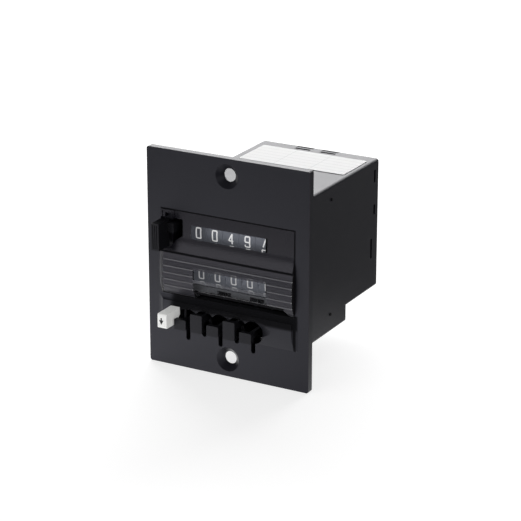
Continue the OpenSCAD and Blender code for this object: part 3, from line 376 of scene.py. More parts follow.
def clear_moulding(name, film, roughness, rims):
    """Clear plastic: a thin film of shine, with printed fields, painted highlights and painted shade laid
    over it.

    Each of the rims is an output of the border group, its box with the widths of its rims, and a
    colour, a density and a roughness.
    """
    material, tree, output = new_material(name)
    shader = node(tree, "ShaderNodeBsdfPrincipled", (700, 0), Specular_IOR_Level=0.22,
                  Specular_Tint=(0.92, 0.9, 1, 1))
    place = node(tree, "ShaderNodeTexCoord", (-900, 0))
    graze = node(tree, "ShaderNodeLayerWeight", (-900, -300), Blend=0.25)
    dense = node(tree, "ShaderNodeMath", (-700, -300), operation="MULTIPLY_ADD")
    dense.inputs[1].default_value = 0.3
    dense.inputs[2].default_value = film
    join(tree, graze, "Facing", dense, 0)
    tint, cover, dull = (0.05, 0.05, 0.053, 1), dense.outputs[0], roughness
    for row, (part, low, high, low_width, high_width, colour, density, rim_roughness) in enumerate(rims):
        x = -500 + 300 * row
        mask = bordered(tree, place, low, high, low_width, high_width, (x, 300)).outputs[part]
        tint = laid_over(tree, tint, (*colour, 1), mask, (x + 150, 100))
        cover = laid_over(tree, cover, density, mask, (x + 150, -150))
        dull = laid_over(tree, dull, rim_roughness, mask, (x + 150, -650))
    side = node(tree, "ShaderNodeNewGeometry", (100, -500))
    front = node(tree, "ShaderNodeMath", (300, -500), operation="SUBTRACT")
    front.inputs[0].default_value = 1.0
    shown = node(tree, "ShaderNodeMath", (500, -300), operation="MULTIPLY", use_clamp=True)
    join(tree, side, "Backfacing", front, 1)
    tree.links.new(cover, shown.inputs[0])
    join(tree, front, 0, shown, 1)
    tree.links.new(tint, shader.inputs["Base Color"])
    tree.links.new(dull, shader.inputs["Roughness"])
    join(tree, shown, 0, shader, "Alpha")
    join(tree, shader, "BSDF", output, "Surface")
    return material


def widths(x, z):
    """Widths of a rim along X and Z in millimetres; Y has none."""
    return (x * MM, 1, z * MM)


def striped_mask(name, colour, strip):
    """Black moulding with a pale strip that runs along under the lower window."""
    material, tree, output = new_material(name)
    shader = node(tree, "ShaderNodeBsdfPrincipled", (400, 0), Roughness=0.7, Specular_IOR_Level=0.05)
    place = node(tree, "ShaderNodeTexCoord", (-700, 0))
    strip_floor = -10.5 * MM
    low = (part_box("preset_wheel_1")[0][0] + 2 * MM, 0, strip_floor)
    high = (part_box("preset_wheel_5")[1][0], 0, box_centre("preset_wheel_1").z)
    field = bordered(tree, place, low, high, widths(0.1, 0.02), widths(0.1, 0.1), (-450, 0))
    shade = laid_over(tree, (*strip, 1), (*colour, 1), field.outputs["Border"], (-100, 0))
    tree.links.new(shade, shader.inputs["Base Color"])
    join(tree, shader, "BSDF", output, "Surface")
    return material


def copied(plain, name):
    """A copy of a moulding, with its tree, its shader and the node that gives the place."""
    material = plain.copy()
    material.name = name
    tree = material.node_tree
    shader = next(n for n in tree.nodes if n.type == "BSDF_PRINCIPLED")
    place = next(n for n in tree.nodes if n.type == "TEX_COORD")
    return material, tree, shader, place


def repaint(tree, shader, label, over, mask):
    """Lays a value over what a shader's input has, as far as a mask says."""
    entry = shader.inputs[label]
    under = entry.links[0].from_socket if entry.is_linked else entry.default_value
    tree.links.new(laid_over(tree, under, over, mask, (200, -450)), entry)


def shaded(plain, name, fields):
    """A copy of a moulding that is dull and near black inside each field, given as a box and its rims:
    painted shade.
    """
    material, tree, shader, place = copied(plain, name)
    mask = None
    for row, (low, high, low_width, high_width) in enumerate(fields):
        field = bordered(tree, place, low, high, low_width, high_width, (-250, -450 - 300 * row))
        if mask:
            both = node(tree, "ShaderNodeMath", (0, -450 - 300 * row), operation="MAXIMUM")
            tree.links.new(mask, both.inputs[0])
            join(tree, field, "Field", both, 1)
            mask = both.outputs[0]
        else:
            mask = field.outputs["Field"]
    repaint(tree, shader, "Base Color", (*NEAR_BLACK, 1), mask)
    repaint(tree, shader, "Roughness", 1.0, mask)
    return material


def neck_in_painted_shade(plain, name, face_y, neck_y):
    """A copy of a moulding that passes to near black between two places along Y, as painted shade on the
    part behind.
    """
    material, tree, shader, place = copied(plain, name)
    parts = node(tree, "ShaderNodeSeparateXYZ", (-250, -450))
    behind = node(tree, "ShaderNodeMapRange", (-50, -450), interpolation_type="SMOOTHSTEP",
                  From_Min=face_y, From_Max=neck_y, To_Min=0.0, To_Max=1.0)
    join(tree, place, "Object", parts, "Vector")
    join(tree, parts, "Y", behind, "Value")
    for label in ("Base Color", "Emission Color"):
        repaint(tree, shader, label, (*NEAR_BLACK, 1), behind.outputs["Result"])
    return material


def label_foil(name, colour):
    """White foil printed with the thin grey rules of a blank table."""
    material, tree, output = new_material(name)
    shader = node(tree, "ShaderNodeBsdfPrincipled", (500, 0), Roughness=0.4, Specular_IOR_Level=0.3)
    place = node(tree, "ShaderNodeTexCoord", (-600, 0))
    # The rules start at the label's left front corner
    corner = node(tree, "ShaderNodeMapping", (-400, 0))
    corner.inputs["Location"].default_value = (19.4 * MM, -39.2 * MM, 0)
    rules = node(
        tree, "ShaderNodeTexBrick", (-150, 0), offset=0.0,
        Color1=(*colour, 1), Color2=(*colour, 1), Mortar=(0.2, 0.2, 0.21, 1),
        Scale=1 / MM, Mortar_Size=0.09, Mortar_Smooth=0.3, Brick_Width=13.4, Row_Height=2.96)
    fibre = node(tree, "ShaderNodeTexNoise", (-150, -350), Scale=900.0, Detail=3.0)
    bump = node(tree, "ShaderNodeBump", (200, -300), Strength=0.15, Distance=0.01 * MM)
    join(tree, place, "Object", corner, "Vector")
    join(tree, corner, "Vector", rules, "Vector")
    join(tree, place, "Object", fibre, "Vector")
    join(tree, fibre, "Fac", bump, "Height")
    join(tree, rules, "Color", shader, "Base Color")
    join(tree, bump, "Normal", shader, "Normal")
    join(tree, shader, "BSDF", output, "Surface")
    return material


def floor_material(studio, low):
    """Pale to everything but the camera, white to it, with painted light: paler at the left and brighter
    near the front where gloss sees it.
    """
    material, tree, output = new_material("pale_floor")
    path = node(tree, "ShaderNodeLightPath", (-400, 200))
    place = node(tree, "ShaderNodeTexCoord", (-900, -100))
    parts = node(tree, "ShaderNodeSeparateXYZ", (-750, -100))
    # Paler at the left and darker at the right: a painted pool of light and shade on the floor
    across = node(
        tree, "ShaderNodeMapRange", (-600, -100), interpolation_type="SMOOTHSTEP",
        From_Min=-30 * MM, From_Max=60 * MM, To_Min=studio.floor_left, To_Max=studio.floor_right)
    grey = node(tree, "ShaderNodeCombineColor", (-400, -100))
    join(tree, place, "Object", parts, "Vector")
    join(tree, parts, "X", across, "Value")
    for label in ("Red", "Green", "Blue"):
        join(tree, across, "Result", grey, label)
    camera_ray = path.outputs["Is Camera Ray"]
    tone = laid_over(tree, grey.outputs["Color"], (0.5, 0.5, 0.5, 1), camera_ray, (-150, 0))
    matt = node(tree, "ShaderNodeBsdfDiffuse", (100, 0))
    tree.links.new(tone, matt.inputs["Color"])
    # A glow near the plate's front that only gloss and the camera see: painted light for the plate's
    # reflections
    away = node(tree, "ShaderNodeVectorMath", (-750, -350), operation="DISTANCE")
    away.inputs[1].default_value = (-50 * MM, -30 * MM, low)
    near = node(
        tree, "ShaderNodeMapRange", (-600, -350), interpolation_type="SMOOTHSTEP",
        From_Min=30 * MM, From_Max=160 * MM, To_Min=2.6, To_Max=0.0)
    seen = node(tree, "ShaderNodeMath", (-350, -350), operation="MULTIPLY_ADD")
    lift = node(tree, "ShaderNodeMath", (-150, -250), operation="MULTIPLY")
    lift.inputs[1].default_value = 0.7
    glow = node(tree, "ShaderNodeEmission", (100, -200), Color=(1, 1, 1, 1))
    both = node(tree, "ShaderNodeAddShader", (350, 0))
    join(tree, place, "Object", away, 0)
    join(tree, away, "Value", near, "Value")
    join(tree, path, "Is Glossy Ray", seen, 0)
    join(tree, near, "Result", seen, 1)
    join(tree, path, "Is Camera Ray", seen, 2)
    join(tree, seen, 0, lift, 0)
    join(tree, lift, 0, glow, "Strength")
    join(tree, matt, "BSDF", both, 0)
    join(tree, glow, "Emission", both, 1)
    join(tree, both, "Shader", output, "Surface")
    return material


def dress(obj, material):
    """Gives every slot of a piece one material."""
    obj.data.materials.clear()
    obj.data.materials.append(material)


def link(obj):
    """Puts a new piece in the scene."""
    bpy.context.scene.collection.objects.link(obj)
    return obj


def settled(obj, name, body):
    """The evaluated piece as a plain mesh on its body, with its modifiers gone."""
    view = bpy.context.evaluated_depsgraph_get()
    mesh = bpy.data.meshes.new_from_object(obj.evaluated_get(view), depsgraph=view)
    bpy.data.objects.remove(obj)
    mesh.name = name
    piece = link(bpy.data.objects.new(name, mesh))
    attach(piece, body)
    return piece


# Painted numbers


def bend(points, radius, steps=5):
    """An open line with its corners rounded."""
    made = [Vector(points[0])]
    for before, corner, after in zip(points, points[1:], points[2:]):
        before, corner, after = Vector(before), Vector(corner), Vector(after)
        back, ahead = before - corner, after - corner
        cut = min(radius, back.length / 2, ahead.length / 2)
        first, last = corner + back.normalized() * cut, corner + ahead.normalized() * cut
        for i in range(steps + 1):
            t = i / steps
            made.append(first * (1 - t) ** 2 + corner * 2 * t * (1 - t) + last * t ** 2)
    made.append(Vector(points[-1]))
    return made


def strokes_of(number, a, b):
    """Strokes of a number that reaches a to each side and b up and down, each an open line."""
    return {
        0: [[(-a, 0), (-a, b), (a, b), (a, -b), (-a, -b), (-a, 0)]],
        1: [[(-0.7 * a, 0.62 * b), (0.15 * a, b), (0.15 * a, -b)]],
        2: [[(-a, 0.55 * b), (-a, b), (a, b), (a, 0.1 * b), (-a, -b), (a, -b)]],
        3: [[(-a, 0.6 * b), (-a, b), (a, b), (a, 0.06 * b), (-0.3 * a, 0.06 * b)],
            [(-0.3 * a, 0.06 * b), (a, 0.06 * b), (a, -b), (-a, -b), (-a, -0.6 * b)]],
        4: [[(0.45 * a, -b), (0.45 * a, b), (-a, -0.38 * b), (a, -0.38 * b)]],
        5: [[(a, b), (-a, b), (-a, 0.12 * b), (a, 0.12 * b), (a, -b), (-a, -b), (-a, -0.6 * b)]],
        6: [[(a, 0.6 * b), (a, b), (-a, b), (-a, -b), (a, -b), (a, 0.06 * b), (-a, 0.06 * b)]],
        7: [[(-a, b), (a, b), (-0.35 * a, -b)]],
        8: [[(-a, 0.5 * b), (-a, b), (a, b), (a, 0.06 * b), (-a, 0.06 * b), (-a, 0.5 * b)],
            [(-a, -0.5 * b), (-a, -b), (a, -b), (a, 0.06 * b), (-a, 0.06 * b), (-a, -0.5 * b)]],
        9: [[(-a, -0.6 * b), (-a, -b), (a, -b), (a, b), (-a, b), (-a, -0.06 * b), (a, -0.06 * b)]],
    }[number]


def finer(points, step):
    """A line with no step longer than the one given."""
    made = [points[0]]
    for before, after in zip(points, points[1:]):
        count = max(1, math.ceil((Vector(after) - Vector(before)).length / step))
        for i in range(1, count + 1):
            made.append(Vector(before).lerp(Vector(after), i / count))
    return made


def paint_tree():
    """Geometry Nodes: strokes become paint that lies on a wheel's rim."""
    name = "rim_paint"
    if name in bpy.data.node_groups:
        return bpy.data.node_groups[name]
    tree, start, end = new_group(
        name, "GeometryNodeTree",
        [("Strokes", "Geometry"), ("Stroke Radius", "Float"), ("Rim Radius", "Float"),
         ("Paint Height", "Float"), ("Axis", "Vector"), ("Paint", "Material")],
        [("Painted", "Geometry")], (-900, 0), (1100, 0))
    profile = node(tree, "GeometryNodeCurvePrimitiveCircle", (-600, -200), Resolution=8)
    join(tree, start, "Stroke Radius", profile, "Radius")
    tube = node(tree, "GeometryNodeCurveToMesh", (-350, 0))
    tube.inputs["Fill Caps"].default_value = True
    join(tree, start, "Strokes", tube, "Curve")
    join(tree, profile, "Curve", tube, "Profile Curve")
    place = node(tree, "GeometryNodeInputPosition", (-600, -450))
    arm = node(tree, "ShaderNodeVectorMath", (-400, -450), operation="SUBTRACT")
    join(tree, place, "Position", arm, 0)
    join(tree, start, "Axis", arm, 1)
    flat = node(tree, "ShaderNodeVectorMath", (-220, -450), operation="MULTIPLY")
    flat.inputs[1].default_value = (0, 1, 1)
    join(tree, arm, "Vector", flat, 0)
    reach = node(tree, "ShaderNodeVectorMath", (-40, -550), operation="LENGTH")
    join(tree, flat, "Vector", reach, 0)
    top = node(tree, "ShaderNodeMath", (-40, -700), operation="ADD")
    join(tree, start, "Rim Radius", top, 0)
    join(tree, start, "Paint Height", top, 1)
    low = node(tree, "ShaderNodeMath", (-40, -850), operation="SUBTRACT")
    join(tree, start, "Rim Radius", low, 0)
    join(tree, start, "Paint Height", low, 1)
    kept = node(tree, "ShaderNodeClamp", (150, -600))
    join(tree, reach, "Value", kept, "Value")
    join(tree, low, 0, kept, "Min")
    join(tree, top, 0, kept, "Max")
    change = node(tree, "ShaderNodeMath", (330, -600), operation="SUBTRACT")
    join(tree, kept, 0, change, 0)
    join(tree, reach, "Value", change, 1)
    way = node(tree, "ShaderNodeVectorMath", (150, -400), operation="NORMALIZE")
    join(tree, flat, "Vector", way, 0)
    shift = node(tree, "ShaderNodeVectorMath", (500, -400), operation="SCALE")
    join(tree, way, "Vector", shift, 0)
    join(tree, change, 0, shift, "Scale")
    settle = node(tree, "GeometryNodeSetPosition", (650, 0))
    join(tree, tube, "Mesh", settle, "Geometry")
    join(tree, shift, "Vector", settle, "Offset")
    real = node(tree, "GeometryNodeRealizeInstances", (800, 0))
    join(tree, settle, "Geometry", real, "Geometry")
    paint = node(tree, "GeometryNodeSetMaterial", (950, 0))
    join(tree, real, "Geometry", paint, "Geometry")
    join(tree, start, "Paint", paint, "Material")
    join(tree, paint, "Geometry", end, "Painted")
    return tree


def set_inputs(modifier, values):
    """Sets Geometry Nodes inputs by their identifiers, from values by name."""
    identifiers = {
        item.name: item.identifier for item in modifier.node_group.interface.items_tree
        if item.item_type == "SOCKET" and item.in_out == "INPUT"}
    for label, value in values.items():
        modifier[identifiers[label]] = value


def number_ring(name, wheel, showing, part_turn, way, aside, height, sizes, paint):
    """Ten numbers round a wheel, with the one it shows at the front.

    They run down the wheel's front, or up where way is -1. Aside moves them from the rim's middle.
    """
    axis_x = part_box(wheel)[0][0] + WHEEL_WIDTH / 2 + aside
    centre = box_centre(wheel)
    axis = Vector((axis_x, centre.y, centre.z))
    curve = bpy.data.curves.new(name, "CURVE")
    curve.dimensions = "3D"
    for number in range(10):
        middle = (number - showing) * 36 * way + part_turn
        for line in strokes_of(number, sizes.width / 2, height / 2):
            points = finer(bend(line, sizes.corner), 0.35 * MM)
            spline = curve.splines.new("POLY")
            spline.points.add(len(points) - 1)
            for point, (x, z) in zip(spline.points, points):
                down = math.radians(middle) - z / RIM_RADIUS
                reach = Vector((x, -RIM_RADIUS * math.cos(down), -RIM_RADIUS * math.sin(down)))
                point.co = (*(axis + reach), 1)
    drawn = link(bpy.data.objects.new(name + "_strokes", curve))
    wrap = drawn.modifiers.new("rim_paint", "NODES")
    wrap.node_group = paint_tree()
    set_inputs(wrap, {
        "Stroke Radius": sizes.stroke / 2, "Rim Radius": RIM_RADIUS, "Paint Height": sizes.paint,
        "Axis": axis, "Paint": paint})
    return settled(drawn, name, wheel)


# Trim and lamps


def rib_tree():
    """Geometry Nodes: a row of equal bars that lie on the crests of the cover's ribs, as painted highlights.
    """
    name = "rib_rows"
    if name in bpy.data.node_groups:
        return bpy.data.node_groups[name]
    tree, start, end = new_group(
        name, "GeometryNodeTree",
        [("Left End", "Vector"), ("Right End", "Vector"), ("Step", "Vector"), ("Count", "Int"),
         ("Bar Radius", "Float"), ("Cover", "Object"), ("Finish", "Material")],
        [("Bars", "Geometry")], (-1000, 0), (1000, 0))
    bar = node(tree, "GeometryNodeCurvePrimitiveLine", (-750, 150))
    join(tree, start, "Left End", bar, "Start")
    join(tree, start, "Right End", bar, "End")
    cut = node(tree, "GeometryNodeResampleCurve", (-550, 150))
    cut.inputs["Count"].default_value = 6
    join(tree, bar, "Curve", cut, "Curve")
    rows = node(tree, "GeometryNodeMeshLine", (-750, -150), mode="OFFSET")
    join(tree, start, "Count", rows, "Count")
    join(tree, start, "Step", rows, "Offset")
    placed = node(tree, "GeometryNodeInstanceOnPoints", (-350, 50))
    join(tree, rows, "Mesh", placed, "Points")
    join(tree, cut, "Curve", placed, "Instance")
    loose = node(tree, "GeometryNodeRealizeInstances", (-150, 50))
    join(tree, placed, "Instances", loose, "Geometry")
    cover = node(tree, "GeometryNodeObjectInfo", (-350, -300), transform_space="RELATIVE")
    join(tree, start, "Cover", cover, "Object")
    crest = node(tree, "GeometryNodeRaycast", (-150, -300))
    crest.inputs["Ray Direction"].default_value = (0, 1, 0)
    crest.inputs["Ray Length"].default_value = 1
    join(tree, cover, "Geometry", crest, "Target Geometry")
    lie = node(tree, "GeometryNodeSetPosition", (100, 50))
    join(tree, loose, "Geometry", lie, "Geometry")
    join(tree, crest, "Hit Position", lie, "Position")
    join(tree, crest, "Is Hit", lie, "Selection")
    sink = node(tree, "ShaderNodeCombineXYZ", (100, -250))
    join(tree, start, "Bar Radius", sink, "Y")
    join(tree, sink, "Vector", lie, "Offset")
    profile = node(tree, "GeometryNodeCurvePrimitiveCircle", (300, -150), Resolution=10)
    join(tree, start, "Bar Radius", profile, "Radius")
    solid = node(tree, "GeometryNodeCurveToMesh", (450, 50))
    solid.inputs["Fill Caps"].default_value = True
    join(tree, lie, "Geometry", solid, "Curve")
    join(tree, profile, "Curve", solid, "Profile Curve")
    real = node(tree, "GeometryNodeRealizeInstances", (630, 50))
    join(tree, solid, "Mesh", real, "Geometry")
    finish = node(tree, "GeometryNodeSetMaterial", (800, 50))
    join(tree, real, "Geometry", finish, "Geometry")
    join(tree, start, "Finish", finish, "Material")
    join(tree, finish, "Geometry", end, "Bars")
    return tree


def softbox(name, energy, size, place, target):
    """Rectangular lamp that faces a point."""
    data = bpy.data.lights.new(name, "AREA")
    data.shape = "RECTANGLE"
    data.size, data.size_y = size
    data.energy = energy
    lamp = link(bpy.data.objects.new(name, data))
    lamp.location = place
    lamp.rotation_euler = (Vector(target) - Vector(place)).to_track_quat("-Z", "Y").to_euler()
    return lamp


# Operators


class TIMER_OT_camera(bpy.types.Operator):
    """Camera at the photograph's place"""

    bl_idname = "timer.camera"
    bl_label = "Camera"

    def execute(self, context):
        # Fitted to the plate's corners, the screw holes and the housing's edges in the photograph
        data = bpy.data.cameras.new("camera")
        data.sensor_width = 36
        data.lens = 143.88
        data.clip_start = 0.05
        data.clip_end = 20
        camera = link(bpy.data.objects.new("camera", data))
        right = Vector((0.8738, 0.4862, 0.0002))
        up = Vector((-0.1644, 0.2951, 0.9412))
        back = right.cross(up)
        turn = Matrix((right, up, back)).transposed().to_4x4()
        camera.matrix_world = Matrix.Translation((0.31759, -0.55121, 0.23061)) @ turn
        context.scene.camera = camera
        return {"FINISHED"}


class TIMER_OT_ribs(bpy.types.Operator):
    """Painted highlights on the crests of the cover's ribs"""

    bl_idname = "timer.ribs"
    bl_label = "Rib edges"

    def execute(self, context):
        rib = context.scene.timer_finish.rib
        # Pale glowing bars: painted highlights on the ribs
        finish = moulding("rib_painted_highlight", rib, roughness=0.35, density=3000, depth=0.002, spread=0.05,
                          shine=0.5, glow=0.35)
        low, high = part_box("preset_cover")
        left, right = low[0] + 1.6 * MM, high[0] - 0.2 * MM
        top_rib = high[2] - 2.35 * MM
        step = (0, 0, -2.3 * MM)
        ahead = low[1] - 5 * MM
        spans = [("whole", left, right, 0, 1), ("left", left, FIELD_LEFT, 1, 4),
                 ("right", FIELD_RIGHT, right, 1, 4)]
        for label, start, stop, skipped, count in spans:
            drawn = link(bpy.data.objects.new("rib_start", bpy.data.meshes.new("rib_start")))
            rows = drawn.modifiers.new("rib_rows", "NODES")
            rows.node_group = rib_tree()
            z = top_rib + skipped * step[2]
            set_inputs(rows, {
                "Left End": (start, ahead, z), "Right End": (stop, ahead, z), "Step": step,
                "Count": count, "Bar Radius": 0.2 * MM, "Cover": frame["nodes"]["preset_cover"],
                "Finish": finish})
            settled(drawn, "rib_edges_" + label, "chassis")
        return {"FINISHED"}


class TIMER_OT_studio(bpy.types.Operator):
    """Pale floor, white surroundings and three softboxes"""

    bl_idname = "timer.studio"
    bl_label = "Studio"

    def execute(self, context):
        studio = context.scene.timer_studio
        world = bpy.data.worlds.new("white_room")
        context.scene.world = world
        world.use_nodes = True
        tree = world.node_tree
        tree.nodes.clear()
        output = node(tree, "ShaderNodeOutputWorld", (400, 0))
        path = node(tree, "ShaderNodeLightPath", (-200, 250))
        even = node(tree, "ShaderNodeBackground", (0, 0), Color=(1, 1, 1, 1), Strength=studio.fill)
        seen = node(tree, "ShaderNodeBackground", (0, -150), Color=(1, 1, 1, 1), Strength=1.0)
        choice = node(tree, "ShaderNodeMixShader", (200, 0))
        join(tree, path, "Is Camera Ray", choice, 0)
        join(tree, even, "Background", choice, 1)
        join(tree, seen, "Background", choice, 2)
        join(tree, choice, "Shader", output, "Surface")
        self.make_floor(floor_material(studio, cad_low[2]))
        softbox("front_softbox", studio.front, (1.2, 0.45), (-0.55, -0.95, 0.22), (0, 0, 0))
        softbox("side_softbox", studio.side, (0.8, 0.8), (1.1, -0.35, 0.45), (0, 0, 0))
        softbox("back_softbox", studio.back, (1.6, 0.8), (-0.42, 0.95, 0.52), (0, 0.03, 0.02))
        return {"FINISHED"}

    def make_floor(self, material):
        """Floor that the plate's lower edge stands on."""
        mesh = bpy.data.meshes.new("floor")
        low = cad_low[2]
        reach = 4
        corners = [(-reach, -reach, low), (reach, -reach, low), (reach, reach, low), (-reach, reach, low)]
        mesh.from_pydata(corners, [], [(0, 1, 2, 3)])
        floor = link(bpy.data.objects.new("floor", mesh))
        dress(floor, material)


class TIMER_OT_finishes(bpy.types.Operator):
    """Finish of every piece that comes from the model"""

    bl_idname = "timer.finishes"
    bl_label = "Finishes"

    def execute(self, context):
        finish = context.scene.timer_finish
        density = 1 / finish.grain
        grey = (0.08, 0.083, 0.09)
        made = {
            "black_moulding": moulding(
                "black_moulding", finish.moulding, roughness=0.42, density=density, shine=0.23),
            "black_key": moulding("black_key", finish.key, roughness=0.45, density=density, shine=0.14),
            "black_inside": moulding(
                "black_inside", finish.inside, roughness=0.6, density=density, shine=0.15),
            "dark_lens": clear_moulding(
                "clear_lens", film=0.04, roughness=0.25, rims=self.lens_rims(finish.print)),
            "clear_cover": clear_moulding(
                "clear_cover", film=0.12, roughness=0.35, rims=self.cover_rims()),
            "label_foil": label_foil("label_foil", finish.label),
            # The wheels glow: painted light that lifts the shade on them inside the recess
            "wheel_grey": moulding(
                "wheel_grey", finish.wheel, roughness=0.5, density=density, depth=0.01, glow=0.15),
            # The white mouldings glow: painted light that brightens the release key
            "white_moulding": moulding(
                "white_moulding", finish.white, roughness=0.35, density=density, depth=0.01,
                spread=0.02, shine=0.4, glow=0.28),
            "grey_moulding": moulding("grey_moulding", grey, roughness=0.5, density=density),
            "black_steel": moulding(
                "blackened_steel", (0.012, 0.012, 0.013), roughness=0.45, density=2500, depth=0.01,
                spread=0.2, shine=0.3),
            "steel": bare_metal("bright_steel", (0.62, 0.63, 0.65), roughness=0.28),
            "brass": bare_metal("stamped_brass", (0.62, 0.45, 0.18), roughness=0.3),
            "aluminium": bare_metal(
                "machined_aluminium", (0.7, 0.71, 0.73), roughness=0.35, density=2000, depth=0.02,
                spread=0.25),
            "seal_rubber": moulding("seal_rubber", (0.02, 0.02, 0.02), roughness=0.7, density=3000),
            "tube_plastic": moulding(
                "soft_tube", (0.02, 0.03, 0.05), roughness=0.3, density=3000, depth=0.005),
        }
        nodes = frame["nodes"]
        for row in frame["record"]["subparts"]:
            dress(nodes[row["node"]], made[row["material_slot"]])
        black, white = made["black_moulding"], made["white_moulding"]
        dress(nodes["number_mask"], striped_mask("mask_print", NEAR_BLACK, finish.strip))
        # The key panel's slope and right side get painted shade
        dress(nodes["front_plate"], shaded(black, "plate_moulding", self.panel_slopes()))
        # The latches in the housing's slots get painted shade
        dress(nodes["rear_cover"], shaded(black, "rear_moulding", self.latch_fields()))
        # The release key's neck behind its face is painted into shade, its glow too
        dress(nodes["release_key"], neck_in_painted_shade(white, "release_key_white", -3.5 * MM, -3.1 * MM))
        return {"FINISHED"}

    def lens_rims(self, print_colour):
        """Black print round the lens's window, and painted shade for the gap round the lens."""
        fine = widths(0.1, 0.1)
        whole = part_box("counter_lens")
        return [
            ("Border", *print_window(), fine, fine, print_colour, 0.97, 0.25),
            # Painted shade for the gap round the lens
            ("Border", *whole, widths(0.01, 0.42), widths(0.36, 0.32), NEAR_BLACK, 1.0, 1.0),
        ]

    def cover_rims(self):
        """Painted shade across the smooth field, print round it, painted highlights on its edges, a painted
        glint and painted shade along its cut-out, and painted shade round it.
        """
        fine, finest = widths(0.1, 0.1), widths(0.05, 0.05)
        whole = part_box("preset_cover")
        line, band = cut_band(0.95 * MM, 1.2 * MM), cut_band(-0.5 * MM, 0.95 * MM)
        return [
            # Painted shade across the field where the numbers pass away
            ("Field", *shaded_strip(), widths(0.1, 0.3), widths(0.1, 0.4), (0.1, 0.103, 0.115), 0.75, 0.35),
            ("Border", *cover_window(), fine, fine, (0.028, 0.027, 0.034), 0.88, 0.35),
            # Painted highlight on the cover's left and lower edges
            ("Border", *whole, widths(1.1, 0.25), widths(0.3, 0.01), (0.16, 0.16, 0.165), 0.4, 0.35),
            # Painted glint along the cut-out's edge
            ("Field", *line, finest, finest, (0.2, 0.2, 0.21), 0.85, 0.35),
            # Painted shade in place of the dark inside seen through the cut-out
            ("Field", *band, finest, finest, NEAR_BLACK, 1.0, 1.0),
            # Painted shade for the gap round the cover
            ("Border", *whole, widths(0.01, 0.12), widths(0.25, 0.3), NEAR_BLACK, 1.0, 1.0),
        ]

    def panel_slopes(self):
        """Fields of painted shade on the plate: the key panel's slope under the cover, and the panel's right
        side.
        """
        low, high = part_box("preset_cover")
        slope_low = (low[0] - 3 * MM, 0, low[2] - 8 * MM)
        slope_high = (high[0] + 3 * MM, 0, low[2] + 1 * MM)
        side_low = (high[0] - 0.7 * MM, 0, low[2] - 12.2 * MM)
        side_high = (high[0] + 0.9 * MM, 0, low[2])
        return [
            (slope_low, slope_high, widths(7, 3.5), widths(2, 0.5)),
            (side_low, side_high, widths(0.35, 0.4), widths(0.4, 0.4)),
        ]

    def latch_fields(self):
        """Fields of painted shade on the rear cover: its two latches in the slots of the housing's top."""
        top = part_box("rear_cover")[1][2]
        fine = widths(0.1, 0.1)
        slot_width = 6.6
        return [
            ((left * MM, 0, top - 1.5 * MM), ((left + slot_width) * MM, 0, top + 1 * MM), fine, fine)
            for left in (-8.6, 1.1)]


class TIMER_OT_numbers(bpy.types.Operator):
    """White numbers round the counting wheels and the preset wheels"""

    bl_idname = "timer.numbers"
    bl_label = "Numbers"

    def execute(self, context):
        sizes = context.scene.timer_numbers
        finish = context.scene.timer_finish
        # Both number paints glow, painted light; the preset paint is a darker copy, painted shade for the
        # numbers behind the cover
        paint = moulding("number_paint", finish.number, roughness=0.5, density=6000, depth=0.002,
                         spread=0.03, glow=0.5)
        shaded_number_paint = moulding("preset_paint", finish.preset_number, roughness=0.5, density=6000,
                          depth=0.002, spread=0.03, glow=0.4)
        counted = [0, 0, 4, 9, 7]
        preset = [0, 0, 0, 0, 1]
        for index in range(1, WHEELS + 1):
            # The last counting wheel has rolled part of its way, and the last preset number stands left
            last = index == WHEELS
            turn = -6.5 if last else 1
            number_ring("count_numbers_%d" % index, "count_wheel_%d" % index,
                        counted[index - 1], turn, 1, 0.15 * MM, sizes.height, sizes, paint)
            aside = -0.35 * MM if last else 0.15 * MM
            number_ring("preset_numbers_%d" % index, "preset_wheel_%d" % index,
                        preset[index - 1], 0.9, -1, aside, sizes.preset_height, sizes, shaded_number_paint)
        return {"FINISHED"}


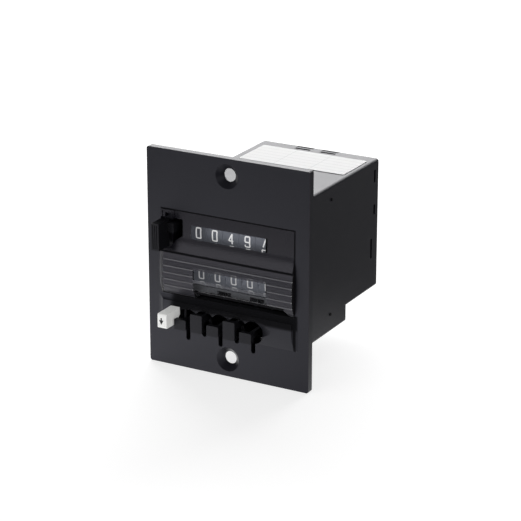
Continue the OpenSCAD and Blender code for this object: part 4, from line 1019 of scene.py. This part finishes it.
class TIMER_OT_arrow(bpy.types.Operator):
    """Small black arrow on the release key's front"""

    bl_idname = "timer.arrow"
    bl_label = "Arrow"

    def execute(self, context):
        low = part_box("release_key")[0]
        x, z = low[0] + 1.4 * MM, -18.6 * MM
        ahead, thick = 0.015 * MM, 0.03 * MM
        outline = [(-0.25, 1.15), (0.25, 1.15), (0.25, 0.35), (0.85, 0.35), (0, -1.25), (-0.85, 0.35),
                   (-0.25, 0.35)]
        front = [(x + a * MM, low[1] - ahead, z + b * MM) for a, b in outline]
        rear = [(px, py + thick, pz) for px, py, pz in front]
        count = len(outline)
        faces = [tuple(reversed(range(count))), tuple(range(count, 2 * count))]
        for first in range(count):
            second = (first + 1) % count
            faces.append((first, second, count + second, count + first))
        mesh = bpy.data.meshes.new("release_arrow")
        mesh.from_pydata(front + rear, [], faces)
        arrow = link(bpy.data.objects.new("release_arrow", mesh))
        ink = moulding("arrow_ink", (0.01, 0.01, 0.01), roughness=0.6, density=6000, depth=0.002)
        dress(arrow, ink)
        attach(arrow, "release_key")
        return {"FINISHED"}


class TIMER_PT_timer(bpy.types.Panel):
    """Buttons and sizes in the 3D view's sidebar"""

    bl_idname = "TIMER_PT_timer"
    bl_label = "Pneumatic Timer"
    bl_space_type = "VIEW_3D"
    bl_region_type = "UI"
    bl_category = "Timer"

    def draw(self, context):
        for name in STEPS:
            self.layout.operator("timer." + name)
        for group in ("timer_numbers", "timer_finish", "timer_studio"):
            settings = getattr(context.scene, group)
            column = self.layout.column()
            for prop in settings.bl_rna.properties:
                if prop.identifier not in ("rna_type", "name"):
                    column.prop(settings, prop.identifier)


STEPS = ("camera", "studio", "finishes", "numbers", "ribs", "arrow")
CLASSES = (
    TIMER_PG_numbers, TIMER_PG_finish, TIMER_PG_studio, TIMER_OT_camera, TIMER_OT_studio,
    TIMER_OT_finishes, TIMER_OT_numbers, TIMER_OT_ribs, TIMER_OT_arrow, TIMER_PT_timer,
)


def register():
    """Adds the classes and the scene's settings."""
    for item in CLASSES:
        bpy.utils.register_class(item)
    scene = bpy.types.Scene
    scene.timer_numbers = PointerProperty(type=TIMER_PG_numbers)
    scene.timer_finish = PointerProperty(type=TIMER_PG_finish)
    scene.timer_studio = PointerProperty(type=TIMER_PG_studio)


def unregister():
    """Takes the settings and the classes away."""
    for name in ("timer_numbers", "timer_finish", "timer_studio"):
        delattr(bpy.types.Scene, name)
    for item in reversed(CLASSES):
        bpy.utils.unregister_class(item)


def main():
    """Builds everything."""
    register()
    bpy.context.scene.view_settings.view_transform = "Standard"
    for name in STEPS:
        getattr(bpy.ops.timer, name)()


if __name__ == "__main__":
    main()
